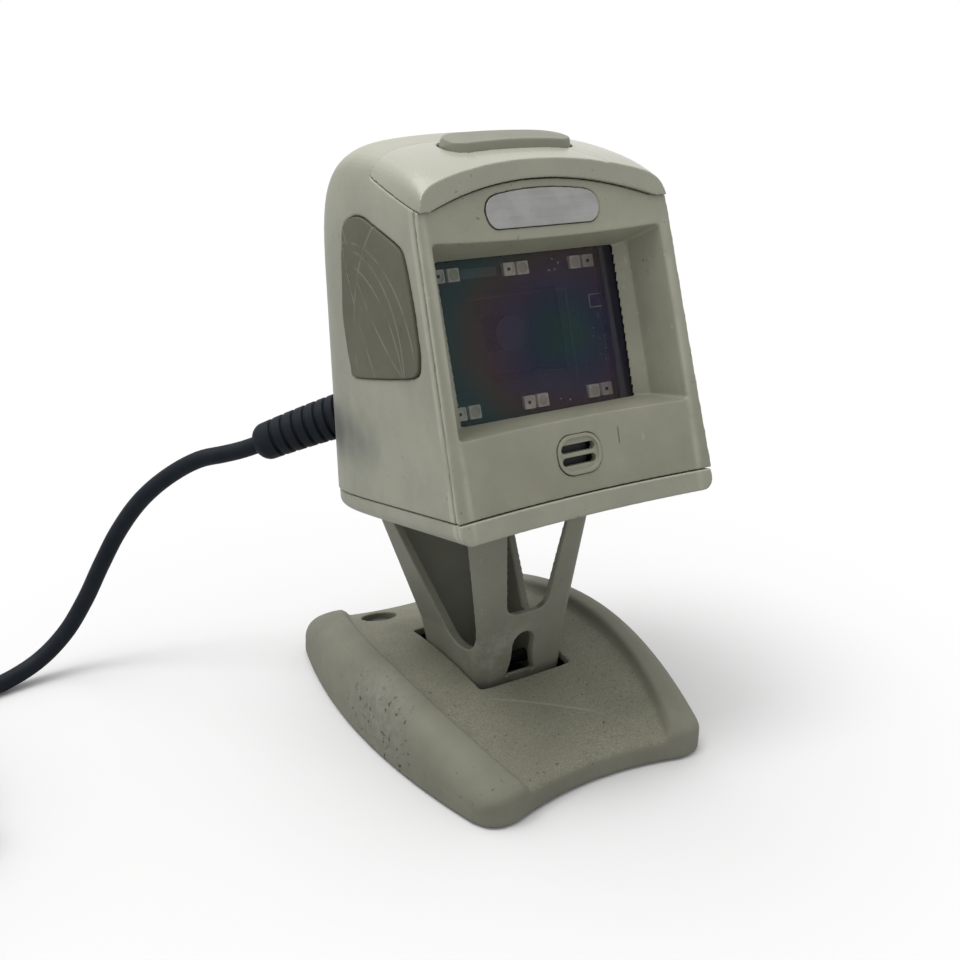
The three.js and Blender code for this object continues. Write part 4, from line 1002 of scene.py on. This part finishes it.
def square_led(number, x, z, domed):
    """A square LED: a frame with a round well, and a lens or a bare chip in it."""
    body = leaning_prism(rounded_rect(LED_HALF, LED_HALF, 0.25, x, z), 20.25, 21.45)
    cut(body, leaning_prism(rounded_rect(1.42, 1.42, 1.41, x, z), 19, 20.6))
    inner_part(body, f"led_body_{number}", "led_plastic", led_plastic, [f"led_{number}"])
    if domed:
        lens = leaning_prism(rounded_rect(1.36, 1.36, 1.35, x, z, steps=10), 20.35, 20.9)
        inner_part(lens, f"led_lens_{number}", "led_plastic", led_lens)
    else:
        chip = leaning_prism(rounded_rect(0.42, 0.42, 0.1, x, z), 20.4, 20.9)
        inner_part(chip, f"led_chip_{number}", "black_plastic", dark_steel)


def board_parts():
    """Small parts on the light board: a connector, resistors, solder spots and a printed frame."""
    metal, dark, print_lines, pale = [], [], [], []

    def pad(group, x, z, half_x, half_z, high=0.08):
        group.append(leaning_prism(rounded_rect(half_x, half_z, 0.06, x, z), 21.42 - high, 21.44))
    for i, (x, z) in enumerate(SOLDER_AT):
        pad(metal, x, z, 0.22 + 0.07 * (i % 3), 0.2, 0.3)
        pad(dark, x + 0.55, z + 0.1, 0.42, 0.3, 0.45)
    for line in ((25.4, 49.9, 2.4, 0.1), (25.4, 46.4, 2.4, 0.1), (23.0, 48.1, 0.1, 1.8),
                 (27.7, 48.1, 0.1, 1.8)):
        pad(print_lines, *line)
    for line in ((15.3, 40, 0.07, 12.4), (-0.4, 52.4, 15.8, 0.06), (18.4, 40, 0.05, 11)):
        pad(pale, *line)
    pad(pale, -11.6, 59.2, 5.4, 1.25, 0.9)
    pad(dark, 25.4, 48.1, 1.1, 0.6, 0.5)
    pad(pale, 24.8, 44.0, 0.45, 0.9, 0.5)
    pad(dark, 9.0, 21.3, 0.9, 0.55, 0.6)
    for group, name, slot, material in ((metal, "solder_spots", "steel", solder),
                                        (dark, "chip_parts", "black_plastic", black_plastic),
                                        (print_lines, "board_print", "led_plastic", led_lens),
                                        (pale, "board_sockets", "circuit_board", socket_plastic)):
        inner_part(join(*group), name, slot, material)


def window_parts():
    pane = from_node("scan_window", HEAD_MATRIX)
    inner_part(pane, "window_pane", "window_glass", coated_glass(), ["scan_window"])
    baffle = from_node("light_baffle", HEAD_MATRIX)
    for side in (-1, 1):
        strip = [(side * 26.6, 18.6), (side * 29.9, 18.6), (side * 29.9, 65.3), (side * 26.6, 65.3)]
        join(baffle, leaning_prism(strip if side > 0 else strip[::-1], 17, 21.1))
    inner_part(baffle, "baffle_frame", "black_plastic", black_plastic, ["light_baffle"])
    spots = [(x, z) for z in LED_ROWS for x in LED_COLUMNS]
    for i, (x, z) in enumerate(spots):
        square_led(i + 1, x, z, i in DOMED_LEDS)
    board_parts()


socket_plastic = plain_material("socket_plastic", (0.06, 0.085, 0.09), 0.4)
window_parts()


# ---- neck and base
BASE_HALF_LENGTH = 59.8
WELL_X, WELL_Y = 17.5, 45.2
POSTS_Y = (-47, 48)
FEET = ((-33, -38), (33, -38), (-33, 38), (33, 38))


def neck():
    made = from_node("neck", BASE_MATRIX)
    cut(made, box(-3.9, 3.9, -40, -15, 4, 21), box(-3.9, 3.9, -40, -7, 3, 12))
    soften(made, 0.33, 4, 0.5)
    finish_piece(made, "neck_moulding", BASE_MATRIX, "tilt_head", "body_plastic", neck_plastic, ["neck"])


def plate_height(y):
    return 17.9 - 0.0028 * y * y


def crest_at(t):
    return 37 - 11 * t * t


def base_block(inset, floor):
    """Two raised rails with an arched plate between them."""
    length = BASE_HALF_LENGTH - inset
    side_length = length - 8 * 0.757
    halves = [math.sin(math.radians(a)) for a in range(0, 81, 5)] + [0.990, 0.994, 0.9975, 1.0]
    along = [-t for t in reversed(halves[1:])] + halves

    def section(t):
        outer = 47.3 - 0.00245 * (t * side_length - 5) ** 2 - inset
        crest_x = crest_at(t)
        edge = max(0.0, (abs(t) - 0.962) / 0.038)
        drop = 2.2 * (1 - math.sqrt(max(0.0, 1 - edge * edge)))
        plate = plate_height(t * BASE_HALF_LENGTH) - inset - drop
        crest = plate + 4.4 - 2 * t * t
        steps = 16
        points = [(outer, 3)]
        for i in range(1, steps + 1):
            angle = i / steps * math.pi / 2
            points.append((crest_x + (outer - crest_x) * math.cos(angle) ** 0.75 if i < steps else crest_x,
                           3 + (crest - 3) * math.sin(angle) ** 0.8))
        points += [(crest_x - 0.9, crest - 0.15), (crest_x - 1.5, crest - 0.7), (crest_x - 2.1, plate + 1.5),
                   (crest_x - 2.7, plate + 0.6), (crest_x - 3.2, plate + 0.15),
                   (crest_x - 3.8 - inset * 0.4, plate)]
        across = 14
        points += [((crest_x - 3.8) * (1 - i / across), plate) for i in range(1, across + 1)]
        top = points + [(-x, z) for x, z in reversed(points[:-1])]
        ring = []
        for x, z in top + [(x, floor) for x, _ in reversed(top)]:
            far = abs(x)
            hollow = 4.4 * (1 - (far / 28) ** 2) if far < 28 else 0
            past = min(0.97, max(0.0, (far - outer + 8) / 8))
            ring.append((x, t * (length - hollow - 8 * (1 - math.sqrt(1 - past * past))), z))
        return ring
    rings = [section(t) for t in along]
    last = len(rings) - 1

    def point(column, row):
        x, y, z = rings[min(last, max(0, row - 1))][column]
        return (x, y, floor if row in (0, last + 2) else z)
    return grid(point, len(rings[0]), last + 3)


def base_shell():
    made = cut(base_block(0, 0.8), base_block(WALL, -2))
    top = plate_height(WELL_Y)
    seat = top - 5
    for x in (-WELL_X, WELL_X):
        join(made, rod(seat - 2, top - WALL, 7.8, (x, WELL_Y)))
    for y in POSTS_Y:
        join(made, rod(2.7, plate_height(y) - 2.4, 3.6, (0, y)))
        cut(made, rod(-5, 6, 1.8, (0, y)))
    for x in (-WELL_X, WELL_X):
        cut(made, rod(seat, 40, 6, (x, WELL_Y)), rod(-5, seat + 1, 2.6, (x, WELL_Y)))
    cut(made, up_prism(rounded_rect(16, 21.45, 1.2, 0, 1.15), -5, 40))
    soften(made, 0.36, 3, 0.5)
    base_piece(made, "base_moulding", "base_plastic", rail_plastic, ["base_shell"])
    made.data.materials.append(plate_plastic)
    for face in made.data.polygons:
        x, y, z = face.center / MM
        inside = abs(x) < crest_at(y / BASE_HALF_LENGTH) - 2.9
        if inside and face.normal.z > 0.35 and z > plate_height(y) - 3:
            face.material_index = 1


def foot(number, at):
    """A rubber pad with two grooves round its sole and a stem above."""
    made = rod(0.02, 0.75, 6, at, 64)
    join(made, rod(0.7, 3.7, 1.9, at))
    for radius in (4.6, 3.1):
        cut(made, cut(rod(-1, 0.3, radius, at, 48), rod(-2, 1, radius - 0.5, at, 48)))
    soften(made, 0.15, 2, 0.5)
    base_piece(made, f"foot_pad_{number}", "rubber", foot_rubber, [f"foot_{number}"])


neck_plastic = moulded("neck_plastic", (0.132, 0.133, 0.102), 0.55, worn=0.6, marks=(neck_dust,))
neck()
base_shell()
for i, at in enumerate(FEET):
    foot(i + 1, at)


# ---- cable
CABLE_ROUTE = [
    (-57.2, 55.8, 76.1), (-62, 59.66, 74.3), (-68.6, 64.8, 72.1), (-77, 70.6, 66.4), (-85.4, 75.6, 58.2),
    (-92.8, 79.4, 47.6), (-99.2, 82, 35.8), (-105.4, 83.4, 24.2), (-112.8, 83.8, 14), (-122, 83, 6.9),
    (-132.4, 81, 3.5), (-143, 78.6, 2.86), (-154, 76, 2.86), (-166, 73.2, 3), (-177, 70.6, 3.5),
]
BOOT_END = 33.4
BOOT_GROOVES = (26.0, 22.1, 18.3, 14.5, 10.9, 7.5, 4.3, 1.3)
COIL_AT = (-193, 30)
COIL_TURNS = ((36.5, 4.35), (31, 4.35), (25.5, 4.35), (25.5, 9.87), (31, 9.87), (36.5, 9.87),
              (36.5, 15.39), (31, 15.39), (25.5, 15.39))
COIL_START = math.radians(102.7)
PLUG_ANGLE = math.radians(290)
PLUG_RADIUS = 31
PLUG_HEIGHT = 22.4
PLUG_LEAD = ((102.7, 25.5, 15.39), (122, 25.7, 15.9), (142, 26.3, 16.9), (162, 27.2, 18.1),
             (182, 28.3, 19.4), (202, 29.6, 20.5), (222, 31, 21.4), (242, 32.4, 22.1))
TIE_ANGLE = math.radians(20)


def smooth_step(t):
    t = min(1.0, max(0.0, t))
    return t * t * (3 - 2 * t)


def on_coil(angle, radius, height):
    return Vector((COIL_AT[0] + radius * math.cos(angle), COIL_AT[1] + radius * math.sin(angle), height))


def coil_points():
    """The stored turns: in along the bottom, out along the middle, in along the top."""
    points, per_turn = [], 24
    for turn, (radius, height) in enumerate(COIL_TURNS):
        next_radius, next_height = COIL_TURNS[min(turn + 1, len(COIL_TURNS) - 1)]
        for i in range(per_turn):
            t = i / per_turn
            move = smooth_step((t - 0.76) / 0.24)
            r = radius + (next_radius - radius) * move
            z = height + (next_height - height) * move
            points.append(on_coil(COIL_START + 2 * math.pi * t, r, z))
    points += [on_coil(math.radians(degrees), r, z) for degrees, r, z in PLUG_LEAD]
    side = Vector((-math.sin(PLUG_ANGLE), math.cos(PLUG_ANGLE), 0))
    middle = on_coil(PLUG_ANGLE, PLUG_RADIUS, PLUG_HEIGHT)
    return points + [middle - side * 17, middle - side * 12.6]


def spline_points(controls, spacing=2.0):
    """Even points on a smooth curve through the controls."""
    controls = [Vector(p) for p in controls]
    ends = [controls[0] * 2 - controls[1]] + controls + [controls[-1] * 2 - controls[-2]]
    fine = []
    for i in range(1, len(ends) - 2):
        p0, p1, p2, p3 = ends[i - 1:i + 3]
        d01, d12, d23 = ((b - a).length ** 0.5 for a, b in ((p0, p1), (p1, p2), (p2, p3)))
        m1 = ((p1 - p0) / d01 - (p2 - p0) / (d01 + d12) + (p2 - p1) / d12) * d12
        m2 = ((p2 - p1) / d12 - (p3 - p1) / (d12 + d23) + (p3 - p2) / d23) * d12
        count = max(2, int((p2 - p1).length / (spacing / 4)))
        fine += [hermite(k / count, p1, m1, p2, m2) for k in range(count)]
    fine.append(controls[-1])
    even, left = [fine[0]], spacing
    for a, b in zip(fine, fine[1:]):
        gap = (b - a).length
        while gap >= left > 0:
            a = a.lerp(b, left / gap)
            even.append(a)
            gap = (b - a).length
            left = spacing
        left -= gap
    even.append(fine[-1])
    return even


def sweep(path, radii, sides=20):
    """A round tube along a path, closed at both ends, with a radius for each point."""
    normal = Vector((0, 0, 1))
    rings = []
    for i, point in enumerate(path):
        way = (path[min(i + 1, len(path) - 1)] - path[max(i - 1, 0)]).normalized()
        normal = (normal - way * normal.dot(way)).normalized()
        other = way.cross(normal)
        rings.append([point + (normal * a + other * b) * radii[i] for a, b in circle(sides)])
    return loft(rings)


def boot_point(s):
    """A point s along the boot's drooping axis, in millimetres."""
    root, way = boot_axis()
    start = HEAD_MATRIX @ root / MM
    direction = (HEAD_MATRIX.to_3x3() @ way).normalized()
    return start + direction * s - Vector((0, 0, 0.0013 * max(0.0, s) ** 2))


def cable():
    path = spline_points([boot_point(BOOT_END - 5)] + CABLE_ROUTE + coil_points())
    made = sweep(path, [CABLE_RADIUS - 0.02] * len(path))
    made.data.transform(BASE_MATRIX)
    made.name = made.data.name = "usb_cable"
    made.data.materials.append(cable_rubber)
    made.data.polygons.foreach_set("use_smooth", [True] * len(made.data.polygons))
    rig.replaces(made, "cable", "cable_coil")
    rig.slot(made, "cable_rubber")
    line = [tuple(p * MM) for p in path]
    length = sum((b - a).length for a, b in zip(path, path[1:])) * MM
    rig.blend(made, "tilt_head", "base", start=line[0], end=metres(-112.8, 83.8, 8))
    return made, line, length


def boot():
    """Ribbed strain relief: grooves along a gently drooping taper, and a smooth shoulder at its end."""
    path, radii = [], []
    steps = 240
    for i in range(steps + 1):
        s = -5 + (BOOT_END + 5) * i / steps
        radius = 6.95 - 1.2 * max(0.0, s) / BOOT_END
        for g in BOOT_GROOVES:
            radius -= 0.95 * math.exp(-((s - g) / 0.45) ** 4)
        if s > BOOT_END - 3.6:
            radius *= math.sqrt(max(0.0, 1 - ((s - BOOT_END + 3.6) / 3.6) ** 2 * 0.66))
        path.append(boot_point(s))
        radii.append(radius)
    return finish_piece(sweep(path, radii, 48), "boot_sleeve", BASE_MATRIX, "tilt_head", "cable_rubber",
                        cable_rubber, ["strain_relief"])


def bar(width, height, radius, x0, x1):
    """A rounded bar along its own x, lying at the plug's place on the coil."""
    return prism(rounded_rect(width, height, radius), x0, x1, lambda a, b, t: (t, a, b))


def usb_plug():
    """A grooved handle, the metal shell with its two windows, and the tongue inside."""
    place = (BASE_MATRIX @ Matrix.Translation(on_coil(PLUG_ANGLE, PLUG_RADIUS, PLUG_HEIGHT))
             @ Matrix.Rotation(PLUG_ANGLE + math.pi / 2, 4, "Z"))
    handle = bar(7.8, 4, 2.6, -13.5, 13.5)
    for y0, y1 in ((-8.4, -7.3), (6.3, 7.5)):
        for k in range(5):
            cut(handle, box(-7 + 3.4 * k, -5.6 + 3.4 * k, y0, y1, -9, 9))
    soften(handle, 0.3, 3, 0.6)
    finish_piece(handle, "plug_grip", place, "base", "black_plastic", black_plastic, ["usb_plug"])
    shell = cut(bar(6, 2.25, 0.5, 12.6, 25.5), bar(5.65, 1.9, 0.35, 14, 27))
    for y in (-2.8, 2.8):
        cut(shell, box(17.2, 19.4, y - 1.1, y + 1.1, 0.5, 4))
    finish_piece(shell, "plug_shell", place, "base", "steel", plated_steel, smooth=False)
    tongue = finish_piece(bar(5.3, 0.85, 0.2, 14.1, 24.8), "plug_tongue",
                          place @ Matrix.Translation((0, 0, -0.9)), "base", "black_plastic", black_plastic,
                          smooth=False)
    return [handle, shell, tongue]


def cable_tie():
    """A hook-and-loop strap round the turns, with its overlapping end."""
    matrix = BASE_MATRIX @ Matrix.Translation((*COIL_AT, 0)) @ Matrix.Rotation(TIE_ANGLE, 4, "Z")
    middle, half, centre_z = 31, 8.55, 9.85
    inner = rounded_rect(half, half, 2.2, middle, centre_z)
    outer = rounded_rect(half + 0.95, half + 0.95, 3, middle, centre_z)
    made = cut(front_prism(outer, -3, 3), front_prism(inner, -6, 6))
    join(made, box(middle - 2, middle + 7, -2.7, 2.7, centre_z + half + 0.6, centre_z + half + 1.5))
    soften(made, 0.22, 2, 0.6)
    return finish_piece(made, "strap", matrix, "base", "black_plastic", strap_fabric, ["cable_tie"])


strap_fabric = plain_material("strap_fabric", (0.02, 0.02, 0.022), 0.85, grain=2500, relief=0.6)
cable_piece, cable_line, cable_length = cable()
boot_piece = boot()
plug_pieces = usb_plug()
strap_piece = cable_tie()
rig.cord(cable_piece, exit=cable_line[0], length=round(cable_length, 2), diameter=0.0055, far_end="plug",
        stiffness="medium", lay="loose", path=cable_line, with_pieces=plug_pieces + [strap_piece, boot_piece])


# ---- parts kept as the CAD draws them
KEPT = (
    (circuit_board, ("camera_board", "illumination_board", "main_board", "switch_board")),
    (black_plastic, ("beeper", "cable_header", "camera_housing", "lens_barrel", "switch_plunger",
                     "tact_switch")),
    (plated_steel, ("board_screw_left", "board_screw_right", "neck_screw_left", "neck_screw_right",
                    "base_screw_1", "base_screw_2", "button_spring", "lock_nut")),
    (dark_steel, ("pivot_shaft", "pivot_bracket_left", "pivot_bracket_right")),
    (zinc, ("ballast_front", "ballast_rear")),
    (painted_steel, ("base_plate",)),
    (brass, ("friction_washer_left", "friction_washer_right")),
)
for material, names in KEPT:
    for name in names:
        nodes[name].data.materials.clear()
        nodes[name].data.materials.append(material)


# ---- stage
def sun(name, towards, power, angle):
    data = bpy.data.lights.new(name, "SUN")
    data.energy = power
    data.angle = math.radians(angle)
    lamp = bpy.data.objects.new(name, data)
    lamp.rotation_euler = Vector(towards).to_track_quat("-Z", "Y").to_euler()
    bpy.context.scene.collection.objects.link(lamp)


floor_mesh = bpy.data.meshes.new("floor")
floor_mesh.from_pydata([(-60, -60, 0), (60, -60, 0), (60, 60, 0), (-60, 60, 0)], [], [(0, 1, 2, 3)])
floor = link("floor", floor_mesh)
floor_material = Shader("floor_paper", 0.9, specular=0.0)
floor_material.set(Base_Color=rgba(0.54, 0.54, 0.54))
floor_mesh.materials.append(floor_material.material)
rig.stage(floor)
world = bpy.data.worlds.new("world")
world.use_nodes = True
world.node_tree.nodes["Background"].inputs["Color"].default_value = (1, 1, 1, 1)
world.node_tree.nodes["Background"].inputs["Strength"].default_value = 1.0
bpy.context.scene.world = world
bpy.context.scene.view_settings.view_transform = "Standard"
sun("top_light", (0.16, -0.20, -1), 1.8, 60)
sun("ridge_light", (0.36, -0.13, -0.92), 1.1, 22)

with open("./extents.json", "w") as out:
    json.dump({"cad": [list(v) for v in cad_box], "visual": [list(v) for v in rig.bounds()]}, out)
